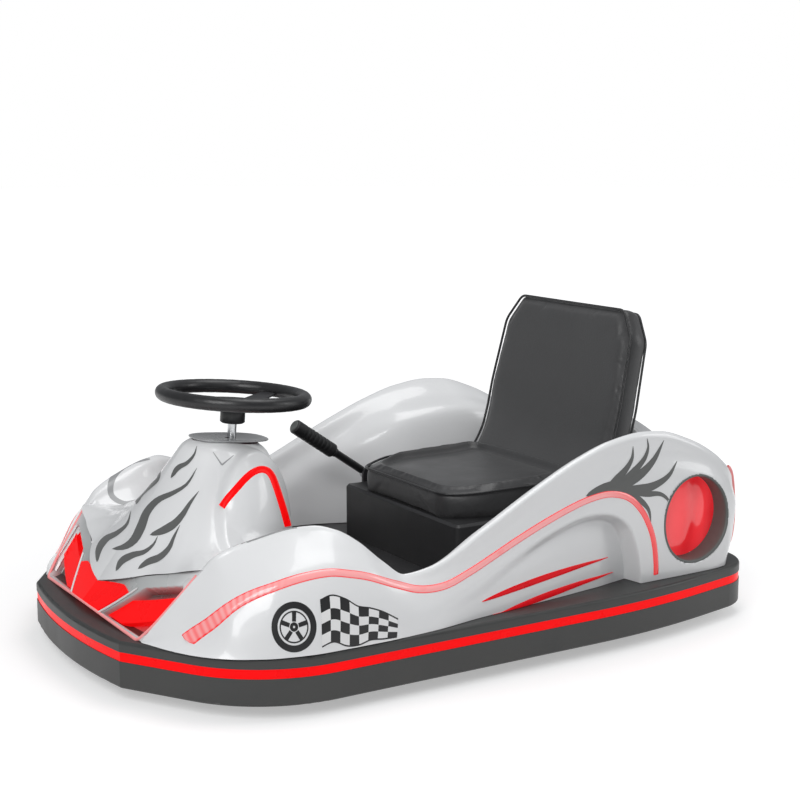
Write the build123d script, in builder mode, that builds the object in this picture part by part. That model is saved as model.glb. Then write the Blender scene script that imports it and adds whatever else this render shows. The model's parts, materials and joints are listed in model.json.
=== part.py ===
from build123d import *
from math import cos, radians, sin
import os

# Electric bumper kart. Units are millimetres. X points forward, Y to the driver's left, Z up.
# The origin is the centre of the footprint, on the floor.
# A setback runs back from the nose, a lead forward from the tail, an inset inwards from the widest side, so
# that pieces stay together when a main size changes.

# Footprint and bumper
length = 1560.0
half_width = 541.0
crease_setback = 26.0
crease_inset = 286.0
shoulder_setback = 207.0
shoulder_radius = 300.0
rear_bend_lead = 357.0
rear_bend_radius = 1800.0
rear_inset = 71.0
rear_corner_radius = 115.0
bumper_bottom = 30.0
bumper_top = 130.0
bumper_wall = 75.0
bumper_rounding = 7.0
groove_bottom = 88.0
groove_height = 20.0
groove_depth = 8.0
light_inset = 1.5

# Chassis
rail_size = 40.0
rail_wall = 4.0
rail_inset = 306.0
rail_rear_lead = 105.0
rail_front_setback = 140.0
seat_member_lead = 530.0
leg_member_setback = 660.0
pan_thickness = 4.0
fit_gap = 0.3

# Wheels and axles
wheel_radius = 90.0
wheel_width = 60.0
rim_radius = 58.0
hub_radius = 22.0
axle_radius = 10.0
rear_axle_lead = 330.0
rear_wheel_inset = 206.0
rear_beam_radius = 15.0

# Steering
column_setback = 375.0
column_tilt = 4.5
steering_radius = 175.0
steering_grip_radius = 14.0
steering_height = 476.0
shaft_radius = 10.0
fork_leg_y = 50.0
fork_leg_thickness = 10.0
fork_width = 46.0
fork_crown_height = 98.0
fork_crown_thickness = 9.0
bearing_radius = 25.0
bearing_drop = 83.0
collar_radius = 31.0
hub_below_rim = 62.0
steering_hub_radius = 28.0
steering_hub_height = 36.0
spoke_width = 26.0
spoke_thickness = 6.0
bridge_thickness = 8.0
bridge_width = 60.0
bridge_shift = 8.0
bridge_top = 218.0
cavity_radius = 108.0
cavity_top = 238.0

# Seat
box_length = 484.0
box_rear_lead = 235.0
box_gap = 10.0
box_top = 262.0
sheet = 4.0
cushion_setback = 5.0
cushion_height = 62.0
cushion_margin = 20.0
back_recline = 12.6
back_thickness = 62.0
back_foot_lead = 61.0
back_rise = 64.0
back_height = 416.0
back_flare = 20.0
back_shoulder_height = 342.0
back_shoulder_inset = 16.0
back_top_inset = 62.0
strap_thickness = 7.0
strap_width = 44.0
strap_inset = 108.0
strap_length = 225.0

# Body
body_rear_lead = 45.0
nose_setback = 178.0
deck_setback = 420.0
deck_inset = 241.0
deck_top = 245.0
side_depth = 273.0
ridge_out = 14.0
ridge_out_drop = 16.0
ridge_in = 24.0
ridge_in_drop = 8.0
shell_wall = 5.0
trim_depth = 5.0
cowl_lead = 180.0
cowl_inset = 273.3

# Lamps and light strips
port_lead = 190.0
port_z = 258.0
port_half_length = 86.0
port_half_height = 115.0
port_floor_inset = 105.0
ring_wall = 8.0
lens_thickness = 6.0
strip_width = 13.0
tail_strip_depth = 14.0
tail_strip_width = 12.0

# Pedals
pedal_setback = 458.0
pedal_inset = 279.0
pedal_width = 70.0
pedal_height = 120.0
pedal_thickness = 8.0

# Battery and tow lug
battery_length = 330.0
battery_side_gap = 88.0
battery_height = 110.0
lug_reach = 30.0
lug_radius = 22.0
lug_thickness = 10.0
lug_hole_radius = 9.0

# Drift lever
lever_setback = 81.0
lever_offset = 30.0
lever_lift = 13.0
lever_rise = 34.7
lever_length = 245.0
lever_radius = 7.0
grip_radius = 14.0
grip_length = 150.0

nose_x = length / 2
tail_x = -length / 2
crease_x = nose_x - crease_setback
crease_y = half_width - crease_inset
shoulder_x = nose_x - shoulder_setback
rear_bend_x = tail_x + rear_bend_lead
rear_half_width = half_width - rear_inset
rail_y = half_width - rail_inset
rail_rear_x = tail_x + rail_rear_lead
rail_front_x = nose_x - rail_front_setback
rear_axle_x = tail_x + rear_axle_lead
rear_wheel_y = half_width - rear_wheel_inset
column_x = nose_x - column_setback
bridge_x = column_x - bridge_shift
bearing_top = steering_height - bearing_drop
inner_y = half_width - side_depth
box_half_width = inner_y - box_gap
box_rear_x = tail_x + box_rear_lead
box_front_x = box_rear_x + box_length
cushion_front_x = box_front_x - cushion_setback
cushion_half_width = box_half_width - cushion_margin
back_foot_x = box_rear_x + back_foot_lead
back_foot_z = box_top + back_rise
back_half_width = box_half_width + back_flare
back_shoulder_half_width = back_half_width - back_shoulder_inset
back_top_half_width = back_half_width - back_top_inset
strap_y = box_half_width - strap_inset
body_rear_x = tail_x + body_rear_lead
nose_rear_x = nose_x - nose_setback
deck_rear_x = nose_x - deck_setback
deck_half_width = half_width - deck_inset
cowl_front_x = tail_x + cowl_lead
cowl_half_width = half_width - cowl_inset
port_x = tail_x + port_lead
port_floor_y = half_width - port_floor_inset
pedal_x = nose_x - pedal_setback
pedal_y = half_width - pedal_inset
battery_width = 2 * (box_half_width - battery_side_gap)
lever_pivot_x = box_front_x - lever_setback
lever_pivot_y = -box_half_width - lever_offset
lever_pivot_z = box_top + lever_lift

os.makedirs("parts", exist_ok=True)


def save(piece, name):
    piece.label = name
    export_step(piece, f"parts/{name}.step")


def footprint(inset=0.0):
    """Plan outline of the bumper, moved inwards by inset."""
    with BuildSketch() as plan:
        with BuildLine():
            ThreePointArc((crease_x, -crease_y), (nose_x, 0), (crease_x, crease_y))
            side = FilletPolyline(
                (crease_x, crease_y),
                (shoulder_x, half_width),
                (rear_bend_x, half_width),
                (tail_x, rear_half_width),
                (tail_x, 0),
                radius=[shoulder_radius, rear_bend_radius, rear_corner_radius],
            )
            mirror(side, about=Plane.XZ)
        make_face()
        if inset:
            offset(amount=-inset, kind=Kind.INTERSECTION)
    return plan.sketch


# Bumper ring with a groove for the light strip
with BuildPart() as bumper_ring:
    with BuildSketch(Plane.XY.offset(bumper_bottom)):
        add(footprint())
        add(footprint(bumper_wall), mode=Mode.SUBTRACT)
    extrude(amount=bumper_top - bumper_bottom)
    upper = bumper_ring.faces().sort_by(Axis.Z)[-1]
    lower = bumper_ring.faces().sort_by(Axis.Z)[0]
    fillet(upper.outer_wire().edges() + lower.outer_wire().edges(), radius=bumper_rounding)
    with BuildSketch(Plane.XY.offset(groove_bottom)):
        add(footprint())
        add(footprint(groove_depth), mode=Mode.SUBTRACT)
    extrude(amount=groove_height, mode=Mode.SUBTRACT)
save(bumper_ring.part, "bumper_ring")

with BuildPart() as bumper_light:
    with BuildSketch(Plane.XY.offset(groove_bottom)):
        add(footprint(light_inset))
        add(footprint(groove_depth), mode=Mode.SUBTRACT)
    extrude(amount=groove_height)
save(bumper_light.part, "bumper_light_strip")

# Chassis frame of square tube, below the floor pan
rail_top = bumper_top - pan_thickness
rail_middle = rail_top - rail_size / 2
cross_members_x = (rail_rear_x, tail_x + seat_member_lead, nose_x - leg_member_setback, rail_front_x)

with BuildPart() as chassis_frame:
    with BuildSketch(Plane.YZ.offset(rail_rear_x)):
        with Locations((rail_y, rail_middle), (-rail_y, rail_middle)):
            Rectangle(rail_size, rail_size)
    extrude(amount=rail_front_x - rail_rear_x)
    with BuildSketch(Plane.XZ.offset(-rail_y)):
        with Locations(*[(x, rail_middle) for x in cross_members_x]):
            Rectangle(rail_size, rail_size)
    extrude(amount=2 * rail_y)
    with BuildSketch(Plane.YZ.offset(rail_rear_x)):
        with Locations((rail_y, rail_middle), (-rail_y, rail_middle)):
            Rectangle(rail_size - 2 * rail_wall, rail_size - 2 * rail_wall)
    extrude(amount=rail_front_x - rail_rear_x, mode=Mode.SUBTRACT)
    with Locations((rear_axle_x, 0, wheel_radius)):
        Cylinder(rear_beam_radius, 2 * (rail_y + rail_size), rotation=(90, 0, 0), mode=Mode.SUBTRACT)
save(chassis_frame.part, "chassis_frame")

# Floor pan with openings for the three wheels
opening_length = 2 * wheel_radius + 30
with BuildPart() as floor_pan:
    with BuildSketch(Plane.XY.offset(rail_top)):
        add(footprint(bumper_wall + fit_gap))
        with Locations((column_x, 0)):
            Circle(cavity_radius, mode=Mode.SUBTRACT)
        with Locations((rear_axle_x, rear_wheel_y), (rear_axle_x, -rear_wheel_y)):
            Rectangle(opening_length, wheel_width + 20, mode=Mode.SUBTRACT)
    extrude(amount=pan_thickness)
save(floor_pan.part, "floor_pan")

# Side shell: sections across the kart, from the nose to the tail.
# Columns: foot in, shoulder in, shoulder up, ridge in, ridge up, knee in, knee up, inner foot in
front_sections = (
    (178, (56, 111, 110, 207, 145, 241, 132, 241)),
    (350, (2, 36, 148, 141, 235, 211, 170, 211)),
    (430, (1, 36, 138, 111, 215, 156, 150, 171)),
    (560, (4, 33, 88, 53, 120, 101, 70, 141)),
)
waist_parts = 54
waist_sections = (
    (13, (18, 33, 92, 53, 127, 101, 70, 141)),
    (22, (33, 41, 125, 63, 180, 121, 110, 151)),
    (38, (53, 53, 188, 73, 265, 181, 170, 211)),
)
rear_sections = (
    (460, (54, 54, 222, 79, 330, 251, 190, side_depth)),
    (311, (54, 54, 250, 84, 350, 251, 210, side_depth)),
    (190, (56, 56, 220, 86, 310, 251, 200, side_depth)),
    (90, (79, 71, 180, 93, 258, 251, 190, side_depth)),
    (body_rear_lead, (117, 101, 120, 101, 215, 251, 170, side_depth)),
)
waist_front_x = nose_x - front_sections[-1][0]
waist_rear_x = tail_x + rear_sections[0][0]


def waist_x(part):
    """X of a part of the waist, counted rearwards from its front end."""
    return waist_front_x + (waist_rear_x - waist_front_x) * part / waist_parts


stations = [(nose_x - setback, row) for setback, row in front_sections]
stations += [(waist_x(part), row) for part, row in waist_sections]
stations += [(tail_x + lead, row) for lead, row in rear_sections]

with BuildPart() as side_shell:
    for x, (foot, shoulder, shoulder_up, ridge, ridge_up, knee, knee_up, inner) in stations:
        with BuildSketch(Plane(origin=(x, half_width, bumper_top), x_dir=(0, 1, 0), z_dir=(1, 0, 0))):
            with BuildLine():
                Polyline(
                    (-inner, 0),
                    (-foot, 0),
                    (-shoulder, shoulder_up),
                    (ridge_out - ridge, ridge_up - ridge_out_drop),
                    (-ridge, ridge_up),
                    (-ridge - ridge_in, ridge_up - ridge_in_drop),
                    (-knee, knee_up),
                    close=True,
                )
            make_face()
    loft(ruled=True)


# Recess in the side, behind an arch, sunk deeper towards the tail
recess_front = Vector(tail_x + 819, half_width - 25, 0)
recess_rear = Vector(tail_x + 346, half_width - 98, 0)
recess_back = (recess_rear - recess_front).normalized()
recess_plane = Plane(origin=recess_front, x_dir=recess_back, z_dir=recess_back.cross(Vector(0, 0, -1)))
with BuildPart() as recess:
    with BuildSketch(recess_plane):
        with BuildLine():
            ThreePointArc((-88, 150), (130, 258), (320, 295))
            ThreePointArc((320, 295), (425, 245), (470, 100))
            Polyline((470, 100), (-88, 100), (-88, 150))
        make_face()
    extrude(amount=200)


def oval_bar(half_length, half_height, inner_y, outer_y):
    """Oval bar across the rear fender, at the port."""
    with BuildPart() as bar:
        with BuildSketch(Plane.XZ.offset(-outer_y)):
            with Locations((port_x, port_z)):
                Ellipse(half_length, half_height)
        extrude(amount=outer_y - inner_y)
    return bar.part


outside_y = half_width + 60
port_hole = oval_bar(port_half_length, port_half_height, port_floor_y, outside_y)
port_bore = oval_bar(port_half_length - ring_wall, port_half_height - ring_wall, port_floor_y, outside_y)

with BuildPart() as port_ring:
    add(side_shell.part)
    add(recess.part, mode=Mode.SUBTRACT)
    add(port_hole, mode=Mode.INTERSECT)
    add(port_bore, mode=Mode.SUBTRACT)

with BuildPart() as port_lens:
    lens_face_y = port_floor_y + lens_thickness
    add(oval_bar(port_half_length - ring_wall, port_half_height - ring_wall, port_floor_y, lens_face_y))

# Space for the rear wheel inside the rear fender
with BuildPart() as wheel_space:
    with Locations((rear_axle_x, rear_wheel_y, wheel_radius)):
        Cylinder(wheel_radius + 25, wheel_width + 24, rotation=(90, 0, 0))

with BuildPart() as open_side:
    add(side_shell.part)
    add(recess.part, mode=Mode.SUBTRACT)
    add(port_hole, mode=Mode.SUBTRACT)
    add(wheel_space.part, mode=Mode.SUBTRACT)

# Side light strip, let into the outer skin of the side shell
with BuildPart() as side_strip:
    with BuildSketch(Plane.XZ.offset(-half_width + 161)):
        with BuildLine():
            ThreePointArc((nose_x - 190, 240), (nose_x - 350, 278), (nose_x - 483, 252))
            ThreePointArc((nose_x - 483, 252), (waist_x(4.3), 210), (waist_x(16.9), 228))
            ThreePointArc((waist_x(16.9), 228), (waist_x(36), 308), (tail_x + 480, 347))
            ThreePointArc((tail_x + 480, 347), (tail_x + 380, 300), (tail_x + 325, 150))
        trace(line_width=strip_width)
    extrude(amount=-300)
    add(open_side.part, mode=Mode.INTERSECT)
    add(open_side.part.moved(Location((0, -trim_depth, 0))), mode=Mode.SUBTRACT)

with BuildPart() as finished_side:
    add(open_side.part)
    add(side_strip.part, mode=Mode.SUBTRACT)


def save_pair(piece, name):
    """Write the left piece and its mirror image."""
    save(piece, f"{name}_left")
    save(mirror(piece, about=Plane.XZ), f"{name}_right")


save_pair(finished_side.part, "side_shell")
save_pair(side_strip.part, "side_light_strip")
save_pair(port_ring.part, "port_lamp_ring")
save_pair(port_lens.part, "port_lamp_lens")

# Tail light strips on the rear edges of the fenders
with BuildPart() as tail_strip:
    with BuildSketch(Plane.YZ.offset(body_rear_x - tail_strip_depth)):
        with BuildLine():
            Polyline((half_width - 115, 160), (half_width - 103, 250), (half_width - 101, 338))
        trace(line_width=tail_strip_width)
    extrude(amount=tail_strip_depth)
save_pair(tail_strip.part, "tail_light_strip")

# Nose shell: mirrored sections across the kart, from the hood line to the lip.
# Columns: setback, foot inset, side inset, side z, edge inset, edge z, centre z
nose_stations = (
    (nose_setback, 56, 111, 240, 207, 275, 290),
    (120, 121, 161, 195, 241, 228, 240),
    (57, 241, 257, 142, 391, 166, 172),
    (31, 451, 457, 138, 481, 148, 150),
)
with BuildPart() as nose_block:
    for setback, foot, side, side_z, edge, edge_z, centre_z in nose_stations:
        with BuildSketch(Plane.YZ.offset(nose_x - setback)):
            with BuildLine():
                half = Polyline(
                    (0, bumper_top),
                    (half_width - foot, bumper_top),
                    (half_width - side, side_z),
                    (half_width - edge, edge_z),
                    (0, centre_z),
                )
                mirror(half, about=Plane.YZ)
            make_face()
    loft(ruled=True)


def nose_inlay(outline, depth):
    """Plate let into the nose, where a front outline of (y, z) points meets its skin."""
    with BuildPart() as inlay:
        with BuildSketch(Plane.YZ.offset(nose_rear_x)):
            with BuildLine():
                Polyline(*outline, close=True)
            make_face()
        extrude(amount=length)
        add(nose_block.part, mode=Mode.INTERSECT)
        add(nose_block.part.moved(Location((-depth, 0, -depth))), mode=Mode.SUBTRACT)
    return inlay.part


panel_side = half_width - 219
panel_foot = half_width - 279
lamp_upper = half_width - 256
lamp_lower = half_width - 241
panel_outline = ((95, 143), (60, 300), (panel_side, 300), (panel_side, 262), (panel_foot, 143))
nose_panel = nose_inlay(panel_outline, trim_depth)
nose_lamp_side = nose_inlay(((120, 160), (110, 205), (lamp_upper, 250), (lamp_lower, 225)), 2 * trim_depth)
nose_lamp_centre = nose_inlay(((-84, 143), (-45, 300), (45, 300), (84, 143)), trim_depth)

with BuildPart() as nose_panel_left:
    add(nose_panel)
    add(nose_lamp_side, mode=Mode.SUBTRACT)

with BuildPart() as nose_shell:
    add(nose_block.part)
    for inlay in (nose_panel, nose_lamp_side, nose_lamp_centre):
        add(inlay, mode=Mode.SUBTRACT)
        add(mirror(inlay, about=Plane.XZ, mode=Mode.PRIVATE), mode=Mode.SUBTRACT)
    with Locations((nose_rear_x, 0, bumper_top)):
        Box(60, 2 * deck_half_width, 160, mode=Mode.SUBTRACT)
save(nose_shell.part, "nose_shell")
save_pair(nose_panel_left.part, "nose_panel")
save_pair(nose_lamp_side, "nose_lamp")
save(nose_lamp_centre, "nose_lamp_centre")

# Steering axis: origin at the front wheel's centre, local Z up the column
axis_plane = Plane(
    origin=(column_x, 0, wheel_radius),
    x_dir=(cos(radians(column_tilt)), 0, sin(radians(column_tilt))),
    z_dir=(-sin(radians(column_tilt)), 0, cos(radians(column_tilt))),
)


def along_axis(height):
    """Plane square to the steering axis, at a height above the front wheel's centre."""
    return axis_plane.offset(height)


# Space for the front wheel, the fork and the column
with BuildPart() as front_cavity:
    with BuildSketch(along_axis(-wheel_radius)):
        Circle(cavity_radius)
    extrude(amount=cavity_top - 20)
    with BuildSketch(along_axis(0)):
        Circle(collar_radius + 2)
    extrude(amount=steering_height)

# Front deck: an open tray upside down over the front wheel
with BuildPart() as front_deck:
    with Locations(((nose_rear_x + deck_rear_x) / 2, 0, (deck_top + bumper_top) / 2)):
        Box(nose_rear_x - deck_rear_x, 2 * deck_half_width, deck_top - bumper_top)
    offset(amount=-shell_wall, openings=front_deck.faces().sort_by(Axis.Z)[0])
    add(finished_side.part, mode=Mode.SUBTRACT)
    add(mirror(finished_side.part, about=Plane.XZ, mode=Mode.PRIVATE), mode=Mode.SUBTRACT)
    add(front_cavity.part, mode=Mode.SUBTRACT)
save(front_deck.part, "front_deck")

# Hood and steering pylon: outlines in plan, from the deck to the pylon's top.
# Columns: z, front lead, side lead, half width, rear lead, rear half width.
# A lead runs forward from the column.
hood_top = wheel_radius + bearing_top + 4
hood_levels = (
    (bumper_top, 311, 185, half_width - 223, -130, pedal_y - 90),
    (180, 301, 175, half_width - 241, -130, pedal_y - 97),
    (275, 223, 145, 205, -125, 130),
    (hood_top - 87, 135, 45, 118, -117, 84),
    (hood_top, 57, -5, 62, -100, 46),
)
with BuildPart() as hood_block:
    for z, front, side, half, rear, rear_half in hood_levels:
        with BuildSketch(Plane.XY.offset(z)):
            with BuildLine():
                flank = Polyline(
                    (column_x + front, 0),
                    (column_x + side, half),
                    (column_x + rear, rear_half),
                    (column_x + rear, 0),
                )
                mirror(flank, about=Plane.XZ)
            make_face()
    loft(ruled=True)

with BuildPart() as hood:
    add(hood_block.part)
    add(nose_block.part, mode=Mode.SUBTRACT)
    for piece in (finished_side.part, side_strip.part):
        add(piece, mode=Mode.SUBTRACT)
        add(mirror(piece, about=Plane.XZ, mode=Mode.PRIVATE), mode=Mode.SUBTRACT)
    with Locations(((nose_rear_x + deck_rear_x) / 2, 0, (deck_top + bumper_top) / 2)):
        Box(nose_rear_x - deck_rear_x, 2 * half_width, deck_top - bumper_top, mode=Mode.SUBTRACT)
    add(front_cavity.part, mode=Mode.SUBTRACT)
save(hood.part, "hood_pylon")

# Rear cowl between the fenders, behind the seat
with BuildPart() as rear_cowl:
    with BuildSketch(Plane.YZ.offset(body_rear_x)):
        with BuildLine():
            half = Polyline(
                (0, bumper_top),
                (cowl_half_width, bumper_top),
                (cowl_half_width, 330),
                (150, 415),
                (0, 430),
            )
            mirror(half, about=Plane.YZ)
        make_face()
    with BuildSketch(Plane.YZ.offset(cowl_front_x)):
        with BuildLine():
            half = Polyline(
                (0, bumper_top),
                (cowl_half_width, bumper_top),
                (cowl_half_width, 360),
                (150, 440),
                (0, 455),
            )
            mirror(half, about=Plane.YZ)
        make_face()
    loft(ruled=True)
    offset(amount=-shell_wall, openings=rear_cowl.faces().sort_by(Axis.Z)[0])
save(rear_cowl.part, "rear_cowl")

# Seat box, open below, with the battery inside
box_length = box_front_x - box_rear_x
box_middle_x = (box_front_x + box_rear_x) / 2
with BuildPart() as seat_box:
    with Locations((box_middle_x, 0, (bumper_top + box_top) / 2)):
        Box(box_length, 2 * box_half_width, box_top - bumper_top)
    fillet(seat_box.edges().filter_by(Axis.Z), radius=12)
    chamfer(seat_box.faces().sort_by(Axis.Z)[-1].edges(), length=6)
    offset(amount=-sheet, openings=seat_box.faces().sort_by(Axis.Z)[0])
save(seat_box.part, "seat_box")

with BuildPart() as battery:
    with Locations((box_middle_x, 0, bumper_top + battery_height / 2)):
        Box(battery_length, battery_width, battery_height)
save(battery.part, "battery_block")

# Seat cushion with clipped front corners
with BuildPart() as cushion:
    with BuildSketch(Plane.XY.offset(box_top)):
        with BuildLine():
            half = Polyline(
                (cushion_front_x, 0),
                (cushion_front_x, cushion_half_width - 60),
                (cushion_front_x - 44, cushion_half_width - 26),
                (cushion_front_x - 99, cushion_half_width),
                (back_foot_x + 20, cushion_half_width),
                (back_foot_x + 20, 0),
            )
            mirror(half, about=Plane.XZ)
        make_face()
    extrude(amount=cushion_height)
    chamfer(cushion.faces().sort_by(Axis.Z)[-1].edges(), length=10)
save(cushion.part, "seat_cushion")

# Seat back, leaning rearwards: local X across the kart, local Y up the back
back_plane = Plane(
    origin=(back_foot_x, 0, back_foot_z),
    x_dir=(0, 1, 0),
    z_dir=(cos(radians(back_recline)), 0, sin(radians(back_recline))),
)
with BuildPart() as seat_back:
    with BuildSketch(back_plane):
        with BuildLine():
            half = Polyline(
                (0, 0),
                (back_half_width - 30, 0),
                (back_half_width, 90),
                (back_shoulder_half_width, back_shoulder_height),
                (back_top_half_width, back_height),
                (0, back_height),
            )
            mirror(half, about=Plane.YZ)
        make_face()
    extrude(amount=-back_thickness)
    chamfer(seat_back.faces().sort_by(Axis.X)[-1].edges(), length=8)
save(seat_back.part, "seat_back")


# Two steel straps behind the seat, bent from the box's rear wall to the lean of the back
lean = radians(back_recline)
strap_line_x = box_rear_x - strap_thickness / 2
strap_offset = back_thickness + strap_thickness / 2
strap_start_x = back_foot_x - strap_offset * cos(lean)
strap_start_z = back_foot_z - strap_offset * sin(lean)
strap_rise = (strap_start_x - strap_line_x) / sin(lean)
strap_bend_z = strap_start_z + strap_rise * cos(lean)
with BuildPart() as seat_strap:
    with BuildSketch(Plane.XZ.offset(-strap_y - strap_width / 2)):
        with BuildLine():
            Polyline(
                (strap_line_x, bumper_top + 30),
                (strap_line_x, strap_bend_z),
                (strap_line_x - strap_length * sin(lean), strap_bend_z + strap_length * cos(lean)),
            )
        trace(line_width=strap_thickness)
    extrude(amount=strap_width)
save_pair(seat_strap.part, "seat_strap")

# Column bridge over the front wheel, standing on the floor pan above the rails
with BuildPart() as column_bridge:
    with BuildSketch(Plane.YZ.offset(bridge_x - bridge_width / 2)):
        with BuildLine():
            foot_z = bumper_top + bridge_thickness / 2
            beam_z = bridge_top - bridge_thickness / 2
            half = Polyline((0, beam_z), (rail_y - 10, beam_z), (rail_y - 10, foot_z), (rail_y + 25, foot_z))
            mirror(half, about=Plane.YZ)
        trace(line_width=bridge_thickness)
    extrude(amount=bridge_width)
    with BuildSketch(along_axis(0)):
        Circle(bearing_radius)
    extrude(amount=steering_height, mode=Mode.SUBTRACT)
save(column_bridge.part, "column_bridge")

tube_bottom = fork_crown_height + fork_crown_thickness + 6
with BuildPart() as column_tube:
    with BuildSketch(along_axis(tube_bottom)):
        Circle(bearing_radius)
    extrude(amount=bearing_top - tube_bottom)
    with BuildSketch(along_axis(bearing_top - 8)):
        Circle(collar_radius)
    extrude(amount=8)
    with BuildSketch(along_axis(tube_bottom)):
        Circle(shaft_radius + 0.5)
    extrude(amount=bearing_top, mode=Mode.SUBTRACT)
save(column_tube.part, "column_tube")

# Steering rim, spokes with hub, and shaft
with BuildPart(along_axis(steering_height)) as steering_rim:
    Torus(steering_radius - steering_grip_radius, steering_grip_radius)
save(steering_rim.part, "steering_rim")

hub_plane = along_axis(steering_height - hub_below_rim)
hub_top = steering_hub_height - hub_below_rim
rim_centre = steering_radius - steering_grip_radius
with BuildPart() as steering_spokes:
    with BuildSketch(hub_plane):
        Circle(steering_hub_radius)
    extrude(amount=steering_hub_height)
    for turn in (90, 210, 330):
        radial = axis_plane.x_dir * cos(radians(turn)) + axis_plane.y_dir * sin(radians(turn))
        spoke_plane = Plane(
            origin=along_axis(steering_height).origin,
            x_dir=radial,
            z_dir=radial.cross(axis_plane.z_dir),
        )
        with BuildSketch(spoke_plane.offset(-spoke_width / 2)):
            with BuildLine():
                Polyline((10, hub_top - 4), (70, hub_top), (rim_centre - 22, -5), (rim_centre - 5, -3))
            trace(line_width=spoke_thickness)
        extrude(amount=spoke_width)
    fillet(steering_spokes.edges().filter_by(GeomType.CIRCLE).sort_by(Axis.Z)[0], radius=4)
    add(steering_rim.part, mode=Mode.SUBTRACT)
save(steering_spokes.part, "steering_spokes")

with BuildPart() as steering_shaft:
    with BuildSketch(along_axis(fork_crown_height + fork_crown_thickness)):
        Circle(shaft_radius)
    extrude(amount=steering_height - hub_below_rim - fork_crown_height - fork_crown_thickness)
save(steering_shaft.part, "steering_shaft")

# Fork: two legs under a crown, with a cross pin for the front wheel
with BuildPart() as steering_fork:
    leg_outer = fork_leg_y + fork_leg_thickness
    for y in (fork_leg_y, -leg_outer):
        with BuildSketch(Plane(origin=(column_x, y, wheel_radius), x_dir=axis_plane.x_dir, z_dir=(0, -1, 0))):
            with BuildLine():
                left_edge = -fork_width / 2
                right_edge = fork_width / 2
                Polyline((left_edge, 0), (left_edge, fork_crown_height), (right_edge, fork_crown_height), (right_edge, 0))
                ThreePointArc((right_edge, 0), (0, left_edge), (left_edge, 0))
            make_face()
        extrude(amount=-fork_leg_thickness)
    with BuildSketch(along_axis(fork_crown_height)):
        RectangleRounded(fork_width + 14, 2 * leg_outer, 8)
    extrude(amount=fork_crown_thickness)
    with Locations((column_x, 0, wheel_radius)):
        Cylinder(axle_radius, 4 * leg_outer, rotation=(90, 0, 0), mode=Mode.SUBTRACT)
save(steering_fork.part, "steering_fork")

with BuildPart() as front_axle:
    with Locations((column_x, 0, wheel_radius)):
        Cylinder(axle_radius, 2 * leg_outer, rotation=(90, 0, 0))
    for y in (leg_outer + 4, -leg_outer - 4):
        with Locations((column_x, y, wheel_radius)):
            Cylinder(axle_radius + 5, 8, rotation=(90, 0, 0))
save(front_axle.part, "front_axle")

# Rear axle: a beam through the rails with a stub at each end
with BuildPart() as rear_axle:
    with Locations((rear_axle_x, 0, wheel_radius)):
        Cylinder(rear_beam_radius, 2 * (rail_y + rail_size), rotation=(90, 0, 0))
        Cylinder(axle_radius, 2 * (rear_wheel_y + wheel_width / 2 + 16), rotation=(90, 0, 0))
    for y in (rear_wheel_y + wheel_width / 2 + 12, -rear_wheel_y - wheel_width / 2 - 12):
        with Locations((rear_axle_x, y, wheel_radius)):
            Cylinder(axle_radius + 6, 8, rotation=(90, 0, 0))
save(rear_axle.part, "rear_axle")


# Wheels: a solid tyre on a cast hub, both turned about the axle
def tyre(x, y):
    with BuildPart() as turned:
        with BuildSketch(Plane(origin=(x, y, wheel_radius))):
            with BuildLine():
                side_y = wheel_width / 2
                shoulder = wheel_radius - 8
                ThreePointArc((shoulder, -side_y), (wheel_radius, 0), (shoulder, side_y))
                Polyline((shoulder, side_y), (rim_radius, side_y - 5), (rim_radius, 5 - side_y), (shoulder, -side_y))
            make_face()
        revolve(axis=Axis((x, y, wheel_radius), (0, 1, 0)))
    return turned.part


def wheel_hub(x, y):
    with BuildPart() as turned:
        with BuildSketch(Plane(origin=(x, y, wheel_radius))):
            bore = axle_radius + fit_gap
            band = 6
            with Locations(((bore + hub_radius) / 2, 0)):
                Rectangle(hub_radius - bore, wheel_width - 6)
            with Locations(((hub_radius + rim_radius) / 2, 0)):
                Rectangle(rim_radius - hub_radius, 12)
            with Locations((rim_radius - band / 2, 0)):
                Rectangle(band, wheel_width - 12)
        revolve(axis=Axis((x, y, wheel_radius), (0, 1, 0)))
        with BuildSketch(Plane(origin=(x, y - wheel_width, wheel_radius), x_dir=(1, 0, 0), z_dir=(0, 1, 0))):
            with PolarLocations((hub_radius + rim_radius - band) / 2, 6):
                Circle(8)
        extrude(amount=2 * wheel_width, mode=Mode.SUBTRACT)
    return turned.part


for name, x, y in (
    ("front", column_x, 0),
    ("rear_left", rear_axle_x, rear_wheel_y),
    ("rear_right", rear_axle_x, -rear_wheel_y),
):
    save(tyre(x, y), f"{name}_tyre")
    save(wheel_hub(x, y), f"{name}_hub")

# Pedals: a pad on a bent flat, standing on the floor pan
with BuildPart() as pedal:
    with BuildSketch(Plane.XZ.offset(-pedal_y - pedal_width / 2)):
        with BuildLine():
            pad_foot_z = bumper_top + pedal_thickness / 2
            Polyline(
                (pedal_x - 40, pad_foot_z),
                (pedal_x - 10, pad_foot_z),
                (pedal_x + 22, pad_foot_z + pedal_height),
            )
        trace(line_width=pedal_thickness)
    extrude(amount=pedal_width)
save_pair(pedal.part, "pedal")

# Tow lug: a flat plate welded to the front of the rear cross member, with an upright hole for a pin
lug_x = rail_rear_x + rail_size / 2 + lug_reach
with BuildPart() as tow_lug:
    with BuildSketch(Plane.XY.offset(rail_middle - rail_size / 2)):
        with Locations((lug_x - lug_reach / 2, 0)):
            Rectangle(lug_reach, 2 * lug_radius)
        with Locations((lug_x, 0)):
            Circle(lug_radius)
            Circle(lug_hole_radius, mode=Mode.SUBTRACT)
    extrude(amount=lug_thickness)
save(tow_lug.part, "tow_lug")

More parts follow.
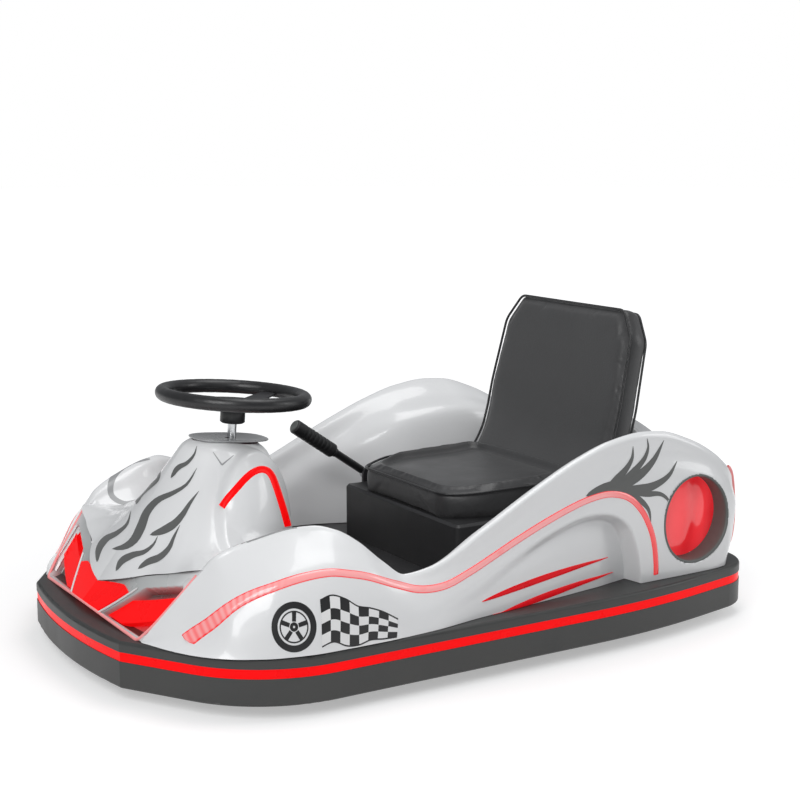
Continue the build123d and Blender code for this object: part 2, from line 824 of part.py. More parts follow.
# Drift lever on a bracket at the right side of the seat box
with BuildPart() as lever_bracket:
    plate_thickness = 8.0
    with BuildSketch(Plane.XZ.offset(box_half_width)):
        with Locations((lever_pivot_x, lever_pivot_z - 30)):
            Rectangle(52, 60)
        with Locations((lever_pivot_x, lever_pivot_z)):
            Circle(26)
    extrude(amount=plate_thickness)
    with Locations((lever_pivot_x, -box_half_width - plate_thickness, lever_pivot_z)):
        with Locations((0, -3, 0)):
            Cylinder(15, 6, rotation=(90, 0, 0))
        with Locations((0, -15, 0)):
            Cylinder(6, 30, rotation=(90, 0, 0))
save(lever_bracket.part, "lever_bracket")

lever_plane = Plane(
    origin=(lever_pivot_x, lever_pivot_y, lever_pivot_z),
    x_dir=(0, -1, 0),
    z_dir=(cos(radians(lever_rise)), 0, sin(radians(lever_rise))),
)
with BuildPart() as lever_rod:
    with Locations((lever_pivot_x, lever_pivot_y, lever_pivot_z)):
        Cylinder(15, 18, rotation=(90, 0, 0))
    with BuildSketch(lever_plane):
        Circle(lever_radius)
    extrude(amount=lever_length - grip_length)
    with Locations((lever_pivot_x, lever_pivot_y, lever_pivot_z)):
        Cylinder(6 + fit_gap, 40, rotation=(90, 0, 0), mode=Mode.SUBTRACT)
save(lever_rod.part, "lever_rod")

with BuildPart() as lever_grip:
    with BuildSketch(lever_plane.offset(lever_length - grip_length)):
        Circle(grip_radius)
    extrude(amount=grip_length)
    fillet(lever_grip.edges().filter_by(GeomType.CIRCLE), radius=6)
save(lever_grip.part, "lever_grip")
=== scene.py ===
# %% [markdown]
# An electric bumper kart, dressed for its picture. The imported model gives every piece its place, so this
# script only makes surfaces and finishes. Lengths are worked out in millimetres, the unit of the drawings,
# and are turned into metres when a mesh is made.

import bmesh
import bpy
import json
import math
import numpy as np
from mathutils import Matrix, Vector
from mathutils.geometry import delaunay_2d_cdt


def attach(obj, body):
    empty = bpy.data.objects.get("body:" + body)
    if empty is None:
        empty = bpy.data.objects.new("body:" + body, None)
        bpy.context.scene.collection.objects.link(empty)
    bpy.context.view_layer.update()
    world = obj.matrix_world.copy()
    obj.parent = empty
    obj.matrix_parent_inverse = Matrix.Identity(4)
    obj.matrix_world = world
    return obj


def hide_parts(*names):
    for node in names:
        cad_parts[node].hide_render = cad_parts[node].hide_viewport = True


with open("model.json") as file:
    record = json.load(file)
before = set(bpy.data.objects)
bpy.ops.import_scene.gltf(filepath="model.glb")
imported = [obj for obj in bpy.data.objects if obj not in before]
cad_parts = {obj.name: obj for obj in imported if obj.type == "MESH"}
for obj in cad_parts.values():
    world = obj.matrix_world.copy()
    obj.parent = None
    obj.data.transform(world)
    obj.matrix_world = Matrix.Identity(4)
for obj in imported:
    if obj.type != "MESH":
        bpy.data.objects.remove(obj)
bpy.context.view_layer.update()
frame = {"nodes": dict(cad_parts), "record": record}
MM = 0.001

# %% [markdown]
# The camera stands where the photographer's did. The lens is long, so the kart looks nearly the same size
# from nose to tail. A camera could be aimed by hand until it looks right, but here its place comes from
# lines on the kart that are known to be parallel and mirrored, which pins it down.

# %% Camera
CAMERA_PLACE = np.array([1853.2, 3141.0, 1143.7])
LENS_MM, SENSOR_MM, FRAME = 70.43, 36.0, 800
camera_back = np.array([0.51445, 0.84084, 0.16832])
camera_back /= np.linalg.norm(camera_back)
camera_right = np.cross([0, 0, 1], camera_back)
camera_right /= np.linalg.norm(camera_right)
camera_up = np.cross(camera_back, camera_right)


def place_camera():
    """Camera that looks along minus camera_back with no roll."""
    data = bpy.data.cameras.new("camera")
    data.lens, data.sensor_width, data.clip_end = LENS_MM, SENSOR_MM, 100.0
    camera = bpy.data.objects.new("camera", data)
    turn = np.eye(4)
    turn[:3, :3] = np.column_stack([camera_right, camera_up, camera_back])
    turn[:3, 3] = CAMERA_PLACE * MM
    camera.matrix_world = Matrix(turn.tolist())
    bpy.context.collection.objects.link(camera)
    bpy.context.scene.camera = camera


place_camera()


def to_picture(points):
    """Where points land in the 800 x 800 picture: the lens scales what is sideways by what is ahead."""
    away = points - CAMERA_PLACE
    scale = LENS_MM / SENSOR_MM * FRAME / -(away @ camera_back)
    return np.stack([FRAME / 2 + (away @ camera_right) * scale, FRAME / 2 - (away @ camera_up) * scale], -1)


# %% [markdown]
# A shape here is a grid of points: one direction runs along the piece, the other across it. Given the grid,
# the faces are always the same, so one function turns any grid into a mesh. Curves through a few chosen
# points use a monotone cubic, which never swings past a point the way an ordinary spline can.

# %% Curves


def monotone(knots, values, at):
    """Cubic through (knots, values) that is level where the values turn back.

    The slope at a knot is the weighted harmonic mean of the slopes on its two sides.
    """
    knots = np.asarray(knots, float)
    values = np.asarray(values, float)
    flat = values.reshape(len(knots), -1)
    step = np.diff(knots)[:, None]
    slope = np.diff(flat, axis=0) / step
    tangent = np.zeros_like(flat)
    tangent[0], tangent[-1] = slope[0], slope[-1]
    before, after = slope[:-1], slope[1:]
    heavy, light = 2 * step[1:] + step[:-1], step[1:] + 2 * step[:-1]
    same = before * after > 0
    mean = (heavy + light) / (heavy / np.where(same, before, 1.0) + light / np.where(same, after, 1.0))
    tangent[1:-1] = np.where(same, mean, 0.0)
    at = np.asarray(at, float)
    seat = np.clip(np.searchsorted(knots, at, side="right") - 1, 0, len(knots) - 2)
    span = step[seat]
    t = np.clip((at - knots[seat])[:, None] / span, 0, 1)
    result = (
        flat[seat] * (2 * t**3 - 3 * t**2 + 1)
        + tangent[seat] * span * (t**3 - 2 * t**2 + t)
        + flat[seat + 1] * (3 * t**2 - 2 * t**3)
        + tangent[seat + 1] * span * (t**3 - t**2)
    )
    return result.reshape((len(at),) + values.shape[1:])


def bend(points, count):
    """Smooth curve through points, count samples evenly spaced along it: a Catmull-Rom spline by length."""
    points = np.asarray(points, float)
    ends = np.vstack([2 * points[0] - points[1], points, 2 * points[-1] - points[-2]])
    t = np.linspace(0, 1, 24, endpoint=False)[:, None]
    a, b, c, d = ends[:-3, None], ends[1:-2, None], ends[2:-1, None], ends[3:, None]
    run = 0.5 * (2 * b + (c - a) * t + (2 * a - 5 * b + 4 * c - d) * t**2 + (3 * b - a - 3 * c + d) * t**3)
    run = np.vstack([run.reshape(-1, points.shape[1]), points[-1:]])
    return evenly(run, count)


def evenly(run, count):
    """The same polyline with count points at equal steps of its length."""
    length = np.concatenate([[0], np.cumsum(np.linalg.norm(np.diff(run, axis=0), axis=1))])
    at = np.linspace(0, length[-1], count)
    return np.column_stack([np.interp(at, length, run[:, k]) for k in range(run.shape[1])])


def drawn(profile):
    """A profile's rows as a smooth curve of 110 rows."""
    return monotone(np.arange(len(profile)), profile, np.linspace(0, len(profile) - 1, 110))


def sideways(line):
    """Unit vectors square to a flat line, to its left."""
    ahead = np.gradient(line, axis=0)
    ahead /= np.linalg.norm(ahead, axis=1)[:, None]
    return np.stack([-ahead[:, 1], ahead[:, 0]], -1)


def turns(count):
    """Angles of count even steps round a full turn."""
    return np.linspace(0, 2 * math.pi, count, endpoint=False)


def soft_step(value, low, high):
    """0 below low, 1 above high, smooth between."""
    t = np.clip((value - low) / (high - low), 0, 1)
    return t * t * (3 - 2 * t)


def inside_distance(outline, points):
    """Distance from points to a closed 2-D outline, positive inside, by the even-odd rule."""
    a = np.asarray(outline, float)
    b = np.roll(a, -1, axis=0)
    p = points[..., None, :]
    run = b - a
    t = np.clip(((p - a) * run).sum(-1) / (run**2).sum(-1), 0, 1)
    gap = np.sqrt(((a + t[..., None] * run - p) ** 2).sum(-1)).min(-1)
    crosses = (a[:, 1] > p[..., 1]) != (b[:, 1] > p[..., 1])
    rise = np.where(run[:, 1] == 0, 1e-9, run[:, 1])
    left = p[..., 0] < a[:, 0] + (p[..., 1] - a[:, 1]) / rise * run[:, 0]
    odd = (crosses & left).sum(-1) % 2 == 1
    return np.where(odd, gap, -gap)


# %% [markdown]
# From points to meshes. Faces are listed once per grid; a strip, a tube and a closed ring differ only in
# which edges of the grid are joined.

# %% Meshes


def mesh_from(name, points, faces, smooth=True):
    """Mesh object at the origin from points in millimetres and faces as rows of indices."""
    data = bpy.data.meshes.new(name)
    rows = faces.tolist() if hasattr(faces, "tolist") else faces
    data.from_pydata((np.asarray(points, float) * MM).tolist(), [], rows)
    data.update()
    data.polygons.foreach_set("use_smooth", np.full(len(data.polygons), smooth))
    piece = bpy.data.objects.new(name, data)
    bpy.context.collection.objects.link(piece)
    return piece


def grid_faces(rows, columns, around=False, along=False):
    """Quads of a grid; around joins the last column to the first, and along does so for the rows."""
    i = np.arange(rows if along else rows - 1)[:, None]
    j = np.arange(columns if around else columns - 1)[None, :]
    i2, j2 = (i + 1) % rows, (j + 1) % columns
    corners = [i * columns + j, i * columns + j2, i2 * columns + j2, i2 * columns + j]
    return np.stack(corners, -1).reshape(-1, 4)


def grid_piece(name, points, around=False, along=False, flip=False):
    """Piece from an array of points (rows, columns, 3), with the shares along and across as its UV map."""
    rows, columns = points.shape[:2]
    faces = grid_faces(rows, columns, around, along)
    faces = faces[:, ::-1] if flip else faces
    piece = mesh_from(name, points.reshape(-1, 3), faces)
    corner = faces.reshape(-1)
    v, u = corner % columns / (columns - 1), corner // columns / (rows - 1)
    layer = piece.data.uv_layers.new(name="run")
    layer.data.foreach_set("uv", np.stack([u, v], -1).ravel())
    return piece


def tube(name, path, radius, sides, closed=False):
    """Round tube of the given radius (a number or one for each point) along a path of 3-D points.

    Each ring lies square to the path; its first direction is the one before, made square again.
    """
    path = np.asarray(path, float)
    ahead = np.roll(path, -1, axis=0) - np.roll(path, 1, axis=0) if closed else np.gradient(path, axis=0)
    ahead /= np.linalg.norm(ahead, axis=1)[:, None]
    side = np.zeros_like(path)
    start = np.cross(ahead[0], [0.0, 0.0, 1.0])
    if np.linalg.norm(start) < 0.1:
        start = np.cross(ahead[0], [1.0, 0.0, 0.0])
    for i in range(len(path)):
        start = start - ahead[i] * (start @ ahead[i])
        start = start / np.linalg.norm(start)
        side[i] = start
    other = np.cross(ahead, side)
    turn = turns(sides)
    radius = np.broadcast_to(np.asarray(radius, float), (len(path),))[:, None, None]
    ring = side[:, None] * np.cos(turn)[:, None] + other[:, None] * np.sin(turn)[:, None]
    return grid_piece(name, path[:, None] + ring * radius, around=True, along=closed)


def mirrored(points):
    """The same points on the other side of the kart."""
    return points * np.array([1, -1, 1])


def normals_of(grid):
    """Unit normals of a grid: along cross across."""
    along, across = np.gradient(grid, axis=0), np.gradient(grid, axis=1)
    normal = np.cross(along, across)
    return normal / np.maximum(np.linalg.norm(normal, axis=-1, keepdims=True), 1e-9)


def sample(grid, rows, columns):
    """Values of a grid at fractional rows and columns, by bilinear weights."""
    rows = np.clip(rows, 0, grid.shape[0] - 1.001)
    columns = np.clip(columns, 0, grid.shape[1] - 1.001)
    i, j = rows.astype(int), columns.astype(int)
    a, b = (rows - i)[..., None], (columns - j)[..., None]
    low = grid[i, j] * (1 - b) + grid[i, j + 1] * b
    high = grid[i + 1, j] * (1 - b) + grid[i + 1, j + 1] * b
    return low * (1 - a) + high * a


def on_skin(grid, outward, lift):
    """Function that puts (row, column) places on a grid, raised by lift along its outward normal."""
    normal = normals_of(grid) * outward

    def place(spots, extra=0.0):
        point = sample(grid, spots[..., 0], spots[..., 1])
        aim = sample(normal, spots[..., 0], spots[..., 1])
        aim = aim / np.linalg.norm(aim, axis=-1, keepdims=True)
        return point + aim * (lift + np.asarray(extra)[..., None])

    return place


SAME_SPOT, SAME_SKIN, OUT = 4.0, 60.0, 1e3


def seen_at(grid, outward, pixels):
    """(row, column) of the places on a grid that show at the given pixels of the picture.

    Points that face the camera count, and of those within SAME_SPOT pixels of the best one only the skin in
    front, SAME_SKIN millimetres deep. The nearest one is then moved by the picture's slope there.
    """
    flat = to_picture(grid)
    facing = (normals_of(grid) * outward * (CAMERA_PLACE - grid)).sum(-1) > 0
    depth = np.linalg.norm(grid - CAMERA_PLACE, axis=-1)
    row_slope, column_slope = np.gradient(flat, axis=0), np.gradient(flat, axis=1)
    found = []
    for pixel in np.asarray(pixels, float):
        miss = np.linalg.norm(flat - pixel, axis=-1) + np.where(facing, 0, OUT)
        nearest = depth[miss < miss.min() + SAME_SPOT].min()
        miss = miss + np.where(depth < nearest + SAME_SKIN, 0, OUT)
        i, j = np.unravel_index(miss.argmin(), miss.shape)
        slope = np.column_stack([row_slope[i, j], column_slope[i, j]])
        shift = np.linalg.lstsq(slope, pixel - flat[i, j], rcond=None)[0]
        found.append([i + np.clip(shift[0], -1.5, 1.5), j + np.clip(shift[1], -1.5, 1.5)])
    return np.array(found)


def ribbon(name, spots, half_width, place, across, crown):
    """Band along flat spots on a skin: crowned in the middle, its edges sunk by one millimetre."""
    line = np.asarray(spots, float)
    share = np.linspace(-1, 1, across)
    width = np.broadcast_to(np.asarray(half_width, float), (len(line),))
    flat = line[:, None] + sideways(line)[:, None] * (width[:, None] * share)[..., None]
    rise = np.broadcast_to(crown * (1 - share**2) - (np.abs(share) > 0.999), flat.shape[:2])
    points = place(flat, rise)
    outward = place(flat, rise + 1.0) - points
    return grid_piece(name, points, flip=(normals_of(points) * outward).sum() > 0)


def plate(name, outline, place, top, bottom, step):
    """Flat-sided plate: a closed 2-D outline filled with points at a step, laid on a skin by place().

    place(points, height) gives the 3-D points of the face at top, the underside at bottom and the wall.
    """
    outline = np.asarray(outline, float)
    edge = [evenly(np.vstack([a, b]), max(2, int(np.linalg.norm(b - a) / step) + 1))[:-1]
            for a, b in zip(outline, np.roll(outline, -1, axis=0))]
    edge = np.vstack(edge)
    low, high = edge.min(0), edge.max(0)
    u, v = np.meshgrid(np.arange(low[0], high[0], step), np.arange(low[1], high[1], step), indexing="ij")
    inner = np.stack([u.ravel(), v.ravel()], -1)
    inner = inner[inside_distance(edge, inner) > step * 0.45]
    spots = [Vector(p) for p in np.vstack([edge, inner]).tolist()]
    loop = [(i, (i + 1) % len(edge)) for i in range(len(edge))]
    verts, _, faces, _, _, _ = delaunay_2d_cdt(spots, loop, [], 1, 1e-5)
    flat = np.array([tuple(p) for p in verts])
    tri = np.array(faces)
    ab, ac = flat[tri[:, 1]] - flat[tri[:, 0]], flat[tri[:, 2]] - flat[tri[:, 0]]
    turn = ab[:, 0] * ac[:, 1] - ab[:, 1] * ac[:, 0] < 0
    tri[turn] = tri[turn][:, ::-1]
    up = place(flat, np.full(len(flat), float(top)))
    outward = place(flat, np.full(len(flat), float(top) + 1.0)) - up
    corner = up[tri]
    facing = np.cross(corner[:, 1] - corner[:, 0], corner[:, 2] - corner[:, 0])
    if (facing * outward[tri[:, 0]]).sum() < 0:
        tri = tri[:, ::-1]
    down = place(flat, np.full(len(flat), float(bottom)))
    n, m = len(flat), len(edge)
    ring = np.arange(m)
    wall = np.stack([ring, ring + n, (ring + 1) % m + n, (ring + 1) % m], -1)
    faces = tri.tolist() + (tri[:, ::-1] + n).tolist() + wall.tolist()
    piece = mesh_from(name, np.vstack([up, down]), faces, smooth=False)
    weld(piece, turn=True)
    return piece


def weld(piece, turn=False):
    """Merge doubled points, and on a closed shape turn every face outwards."""
    work = bmesh.new()
    work.from_mesh(piece.data)
    bmesh.ops.remove_doubles(work, verts=work.verts, dist=1e-5)
    if turn:
        bmesh.ops.recalc_face_normals(work, faces=work.faces)
    work.to_mesh(piece.data)
    work.free()


SIDES = (("left", False), ("right", True))


def finished(piece, material, body, slot, *nodes):
    """Dress a piece, seat it on its body and hide the imported nodes it stands for."""
    piece.data.materials.clear()
    piece.data.materials.append(material)
    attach(piece, body)
    if nodes:
        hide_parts(*nodes)
    return piece


# %% [markdown]
# Every finish is a small node tree. A helper class starts a material with a Principled BSDF and has short
# calls that add and link nodes, which keeps each finish a few readable lines long.

# %% Material helper


class Nodes:
    """A node tree being built: node() adds a node, put() sets a socket, link() joins two sockets."""

    def __init__(self, tree):
        self.tree = tree

    def node(self, kind, **settings):
        made = self.tree.nodes.new(kind)
        for key, value in settings.items():
            setattr(made, key, value)
        return made

    def put(self, node, socket, value):
        node.inputs[socket].default_value = value

    def link(self, out, node, socket):
        self.tree.links.new(out, node.inputs[socket])

    def place(self):
        """The point in the piece's own coordinates, in metres."""
        return self.node("ShaderNodeTexCoord").outputs["Object"]

    def parts(self, vector):
        """The outputs X, Y and Z of a vector."""
        split = self.node("ShaderNodeSeparateXYZ")
        self.link(vector, split, 0)
        return split.outputs

    def run(self):
        """The piece's own UV map: X runs along it, Y across."""
        return self.parts(self.node("ShaderNodeUVMap", uv_map="run").outputs["UV"])

    def noise(self, scale, detail=2.0):
        cloud = self.node("ShaderNodeTexNoise")
        self.put(cloud, "Scale", scale)
        self.put(cloud, "Detail", detail)
        self.link(self.place(), cloud, "Vector")
        return cloud.outputs["Fac"]

    def maths(self, operation, first, second=0.0):
        """Math node; each value is a number or another node's output."""
        made = self.node("ShaderNodeMath", operation=operation)
        for socket, value in enumerate((first, second)):
            if isinstance(value, (int, float)):
                self.put(made, socket, value)
            else:
                self.link(value, made, socket)
        return made.outputs[0]

    def blend(self, share, first, second):
        """Colour between two, by share; each is a colour or an output."""
        made = self.node("ShaderNodeMix", data_type="RGBA")
        self.link(share, made, "Factor")
        for socket, value in ((6, first), (7, second)):
            if isinstance(value, tuple):
                self.put(made, socket, (*value, 1.0))
            else:
                self.link(value, made, socket)
        return made.outputs[2]

    def ramp(self, share, *stops):
        """Colour ramp through (place, grey or colour) stops."""
        made = self.node("ShaderNodeValToRGB")
        self.link(share, made, "Fac")
        bar = made.color_ramp
        while len(bar.elements) < len(stops):
            bar.elements.new(0.5)
        for element, (place, value) in zip(bar.elements, stops):
            element.position = place
            element.color = (*value, 1.0) if isinstance(value, tuple) else (value, value, value, 1.0)
        return made.outputs["Color"]


class Finish(Nodes):
    """A material being built around a Principled BSDF."""

    def __init__(self, name, colour, roughness, metallic=0.0):
        self.material = bpy.data.materials.new(name)
        self.material.use_nodes = True
        super().__init__(self.material.node_tree)
        self.shader = self.tree.nodes["Principled BSDF"]
        self.set("Base Color", (*colour, 1.0))
        self.set("Roughness", roughness)
        self.set("Metallic", metallic)

    def set(self, socket, value):
        """Give a socket of the shader a fixed value."""
        self.put(self.shader, socket, value)

    def feed(self, out, socket):
        """Give a socket of the shader another node's output."""
        self.link(out, self.shader, socket)

    def group(self, tree, **values):
        made = self.node("ShaderNodeGroup")
        made.node_tree = tree
        for key, value in values.items():
            self.put(made, key, value)
        return made

    def bump(self, height, strength, distance=0.001):
        made = self.node("ShaderNodeBump")
        self.put(made, "Strength", strength)
        self.put(made, "Distance", distance)
        self.link(height, made, "Height")
        self.feed(made.outputs["Normal"], "Normal")


def new_group(name, inputs, outputs):
    """Empty node group with (kind, name, default) inputs and (kind, name) outputs."""
    tree = bpy.data.node_groups.new(name, "ShaderNodeTree")
    for kind, label, default in inputs:
        socket = tree.interface.new_socket(label, in_out="INPUT", socket_type="NodeSocket" + kind)
        socket.default_value = default
    for kind, label in outputs:
        tree.interface.new_socket(label, in_out="OUTPUT", socket_type="NodeSocket" + kind)
    return tree, tree.nodes.new("NodeGroupInput"), tree.nodes.new("NodeGroupOutput")


# %% [markdown]
# Paint and plastic are never one flat value. Every finish uses one shared effect: a slow noise that shifts
# colour and gloss a little, a fine grain for the bump, and dust that settles low down on the kart. It is a
# node group, built once, and each finish gives it its own numbers.

# %% Wear group


def make_wear():
    """Colour = base x (1 + amount x (slow noise - 1/2)), then mixed with dust below about 0.2 m."""
    tree, start, end = new_group(
        "wear",
        [("Color", "Colour", (1, 1, 1, 1)), ("Float", "Scale", 8.0), ("Float", "Amount", 0.05),
         ("Float", "Gloss", 0.2), ("Float", "Grain", 300.0), ("Float", "Dust", 0.1)],
        [("Color", "Colour"), ("Float", "Roughness"), ("Float", "Grain")],
    )
    made = Nodes(tree)
    where = made.place()
    slow, fine = made.node("ShaderNodeTexNoise"), made.node("ShaderNodeTexNoise")
    made.put(slow, "Detail", 5.0)
    made.put(fine, "Detail", 2.0)
    for noise, size in ((slow, "Scale"), (fine, "Grain")):
        made.link(where, noise, "Vector")
        made.link(start.outputs[size], noise, "Scale")
    shift = made.maths("MULTIPLY", made.maths("SUBTRACT", slow.outputs["Fac"], 0.5), start.outputs["Amount"])
    shade = made.node("ShaderNodeVectorMath", operation="SCALE")
    made.link(start.outputs["Colour"], shade, 0)
    made.link(made.maths("ADD", shift, 1.0), shade, "Scale")
    low = made.node("ShaderNodeMapRange")
    made.put(low, "From Min", 0.24)
    made.put(low, "From Max", 0.03)
    made.link(made.parts(where)["Z"], low, "Value")
    settled = made.maths("MULTIPLY", low.outputs[0], slow.outputs["Fac"])
    dust = made.maths("MULTIPLY", settled, start.outputs["Dust"])
    made.link(made.blend(dust, shade.outputs[0], (0.33, 0.31, 0.28)), end, "Colour")
    gloss = made.maths("ADD", start.outputs["Gloss"], shift)
    made.link(made.maths("ADD", gloss, made.maths("MULTIPLY", dust, 0.8)), end, "Roughness")
    made.link(fine.outputs["Fac"], end, "Grain")
    return tree


WEAR = make_wear()


def worn(name, colour, gloss, scale, amount, grain=300.0, bump=0.0, dust=0.08, metallic=0.0, coat=0.0):
    """Finish with the wear group on colour and gloss, an optional grain bump and a clear coat."""
    made = Finish(name, colour, gloss, metallic)
    effect = made.group(
        WEAR, Colour=(*colour, 1.0), Scale=scale, Amount=amount, Gloss=gloss, Grain=grain, Dust=dust)
    made.feed(effect.outputs["Colour"], "Base Color")
    made.feed(effect.outputs["Roughness"], "Roughness")
    if bump:
        made.bump(effect.outputs["Grain"], bump)
    if coat:
        made.set("Coat Weight", coat)
        made.set("Coat Roughness", 0.06)
    return made


# Columns: name, colour, gloss, scale, amount, grain, bump, dust, metallic, coat
(WHITE, BLACK_METAL, STEEL, ALLOY, TYRE, BUMPER, FOAM, GRIP, BOX, NOSE_DARK, RING_GREY, DECAL_GREY,
 DECAL_BLACK, DECAL_WHITE, CAP_GREY, COWL_PAINTED_SHADE, GROOVE_PAINTED_SHADE) = (worn(*row).material for row in (
    ("body_white", (0.72, 0.725, 0.73), 0.30, 2.5, 0.03, 900, 0.015, 0.05, 0.0, 0.55),
    ("black_metal", (0.022, 0.022, 0.024), 0.42, 30, 0.2, 700, 0.12),
    ("bright_steel", (0.60, 0.61, 0.62), 0.24, 40, 0.15, 300, 0.0, 0.02, 1.0),
    ("wheel_alloy", (0.50, 0.51, 0.53), 0.38, 40, 0.12, 500, 0.1, 0.08, 0.9),
    ("tyre_rubber", (0.022, 0.022, 0.022), 0.78, 40, 0.3, 420, 0.3, 0.35),
    ("bumper_rubber", (0.026, 0.028, 0.028), 0.42, 9, 0.25, 900, 0.06, 0.10),
    ("wheel_foam", (0.012, 0.012, 0.013), 0.36, 60, 0.3, 900, 0.10, 0.0),
    ("grip_rubber", (0.014, 0.014, 0.015), 0.46, 60, 0.3, 650, 0.5, 0.0),
    ("box_black", (0.018, 0.018, 0.019), 0.40, 20, 0.2, 1100, 0.15, 0.05),
    ("nose_dark", (0.10, 0.115, 0.11), 0.28, 12, 0.12, 900, 0.02, 0.08, 0.0, 0.3),
    ("ring_grey", (0.10, 0.11, 0.105), 0.45, 18, 0.12, 900, 0.05),
    ("decal_grey", (0.105, 0.108, 0.105), 0.36, 30, 0.06, 300, 0.0, 0.02),
    ("decal_black", (0.012, 0.012, 0.013), 0.34, 30, 0.06, 300, 0.0, 0.02),
    ("decal_white", (0.74, 0.74, 0.74), 0.36, 30, 0.04, 300, 0.0, 0.02),
    ("cap_grey", (0.36, 0.365, 0.37), 0.30, 9, 0.25, 900, 0.03, 0.08, 0.0, 0.5),
    # Grey for the rear cowl: its white body plastic darkened as painted shade.
    ("cowl_painted_shade", (0.46, 0.465, 0.47), 0.34, 4, 0.1, 900, 0.02, 0.08, 0.0, 0.4),
    # Grey for the grooves and the V mark: painted shade on the white body.
    ("groove_painted_shade", (0.30, 0.305, 0.31), 0.4, 10, 0.2, 300, 0.0, 0.02, 0.0, 0.3),
))

# %% [markdown]
# The lamps are lit from inside, so each is a coloured plastic that also gives off a little light of its own.
# Emission makes red stay pure red where a plain red surface would go pink under white light.

# %% Lamp finishes
LAMP_MOTTLE = 0.25


def lit(name, colour, glow, strength, scale=14.0):
    """Coloured plastic with a mottled glow of its own."""
    made = worn(name, colour, 0.30, scale, LAMP_MOTTLE, dust=0.0)
    effect = made.group(WEAR, Colour=(*glow, 1.0), Scale=scale, Amount=LAMP_MOTTLE, Dust=0.0)
    made.feed(effect.outputs["Colour"], "Emission Color")
    made.set("Emission Strength", strength)
    made.set("Specular IOR Level", 0.12)
    return made.material


RED = lit("lamp_red", (0.45, 0.001, 0.002), (1.0, 0.001, 0.002), 0.62)
RED_DEEP = lit("lamp_red_deep", (0.45, 0.006, 0.010), (0.9, 0.006, 0.014), 0.30, scale=30)
PINK = lit("lamp_pink", (0.75, 0.30, 0.30), (1.0, 0.25, 0.25), 0.18)

# %% [markdown]
# The side of the body is one flowing moulding. Its character is in a few lines that run from nose to tail:
# the foot on the bumper, the shoulder, the crest, the inner knee and the inner foot. Each line is a short
# table, and the skin is a smooth curve through all of them at every station.

# %% Lines of the side shell: x, y, z in millimetres, from nose to tail
NOSE_CORNER = np.array([602.0, 334.0, 275.0])
NOSE_TIP = np.array([700.0, 0.0, 185.0])
LIP_CORNER = np.array([718.0, 286.0, 132.0])
LIP_CENTRE = np.array([735.0, 0.0, 146.0])
BASE_Z = 130.0
TAIL_X = -738.0

foot_line = np.array([
    (718, 290), (690, 365), (662, 418), (630, 457), (590, 489), (520, 522), (426, 539), (314, 540),
    (200, 534), (39, 514), (-71, 505), (-190, 497), (-314, 490), (-434, 487), (-560, 485), (-634, 482),
    (-680, 474), (-710, 448), (-738, 412),
])
shoulder_line = np.array([
    (718, 288, 131), (690, 338, 142), (661, 375, 156), (590, 436, 222), (502, 479, 266), (399, 497, 280),
    (312, 505, 260), (193, 506, 215), (65, 501, 233), (-71, 491, 285), (-207, 488, 334), (-319, 487, 352),
    (-469, 487, 360), (-590, 485, 345), (-660, 481, 318), (-700, 474, 292), (-722, 462, 274),
    (-738, 440, 262),
])
crest_line = np.array([
    (718, 286, 133), (660, 310, 206), (604, 333, 273), (574, 345, 305), (502, 371, 335), (428, 396, 354),
    (389, 413, 357), (346, 430, 346), (308, 447, 322), (258, 466, 276), (216, 481, 246), (157, 486, 254),
    (28, 480, 313), (-136, 472, 393), (-248, 466, 440), (-334, 463, 466), (-423, 460, 477), (-484, 458, 473),
    (-578, 455, 444), (-644, 450, 411), (-700, 441, 372), (-725, 430, 350), (-738, 418, 336),
])
knee_line = np.array([
    (718, 280, 120), (604, 318, 255), (574, 300, 268), (502, 296, 264), (430, 320, 262), (389, 345, 262),
    (346, 388, 262), (308, 405, 240), (216, 436, 195), (90, 432, 200), (0, 420, 240), (-160, 392, 320),
    (-320, 350, 395), (-469, 335, 405), (-590, 330, 385), (-700, 325, 340), (-738, 320, 300),
])
inner_foot_line = np.array([
    (718, 278, 112), (604, 300, 240), (574, 262, 252), (430, 262, 240), (380, 290, 236), (350, 388, 134),
    (216, 398, 132), (0, 388, 132), (-160, 335, 132), (-300, 270, 132), (-738, 268, 132),
])
side_x = np.unique(np.concatenate([
    np.linspace(718, 560, 60), np.linspace(560, 180, 90), np.linspace(180, -380, 130),
    np.linspace(-380, -450, 50), np.linspace(-450, -715, 90), np.linspace(-715, TAIL_X, 14),
]))[::-1]
OUTER_COLUMNS, CREST_COLUMNS = 60, 84


def along(line, x):
    """The line's other coordinates at stations x, by the monotone cubic."""
    order = np.argsort(line[:, 0])
    return monotone(line[order, 0], line[order, 1:], x)


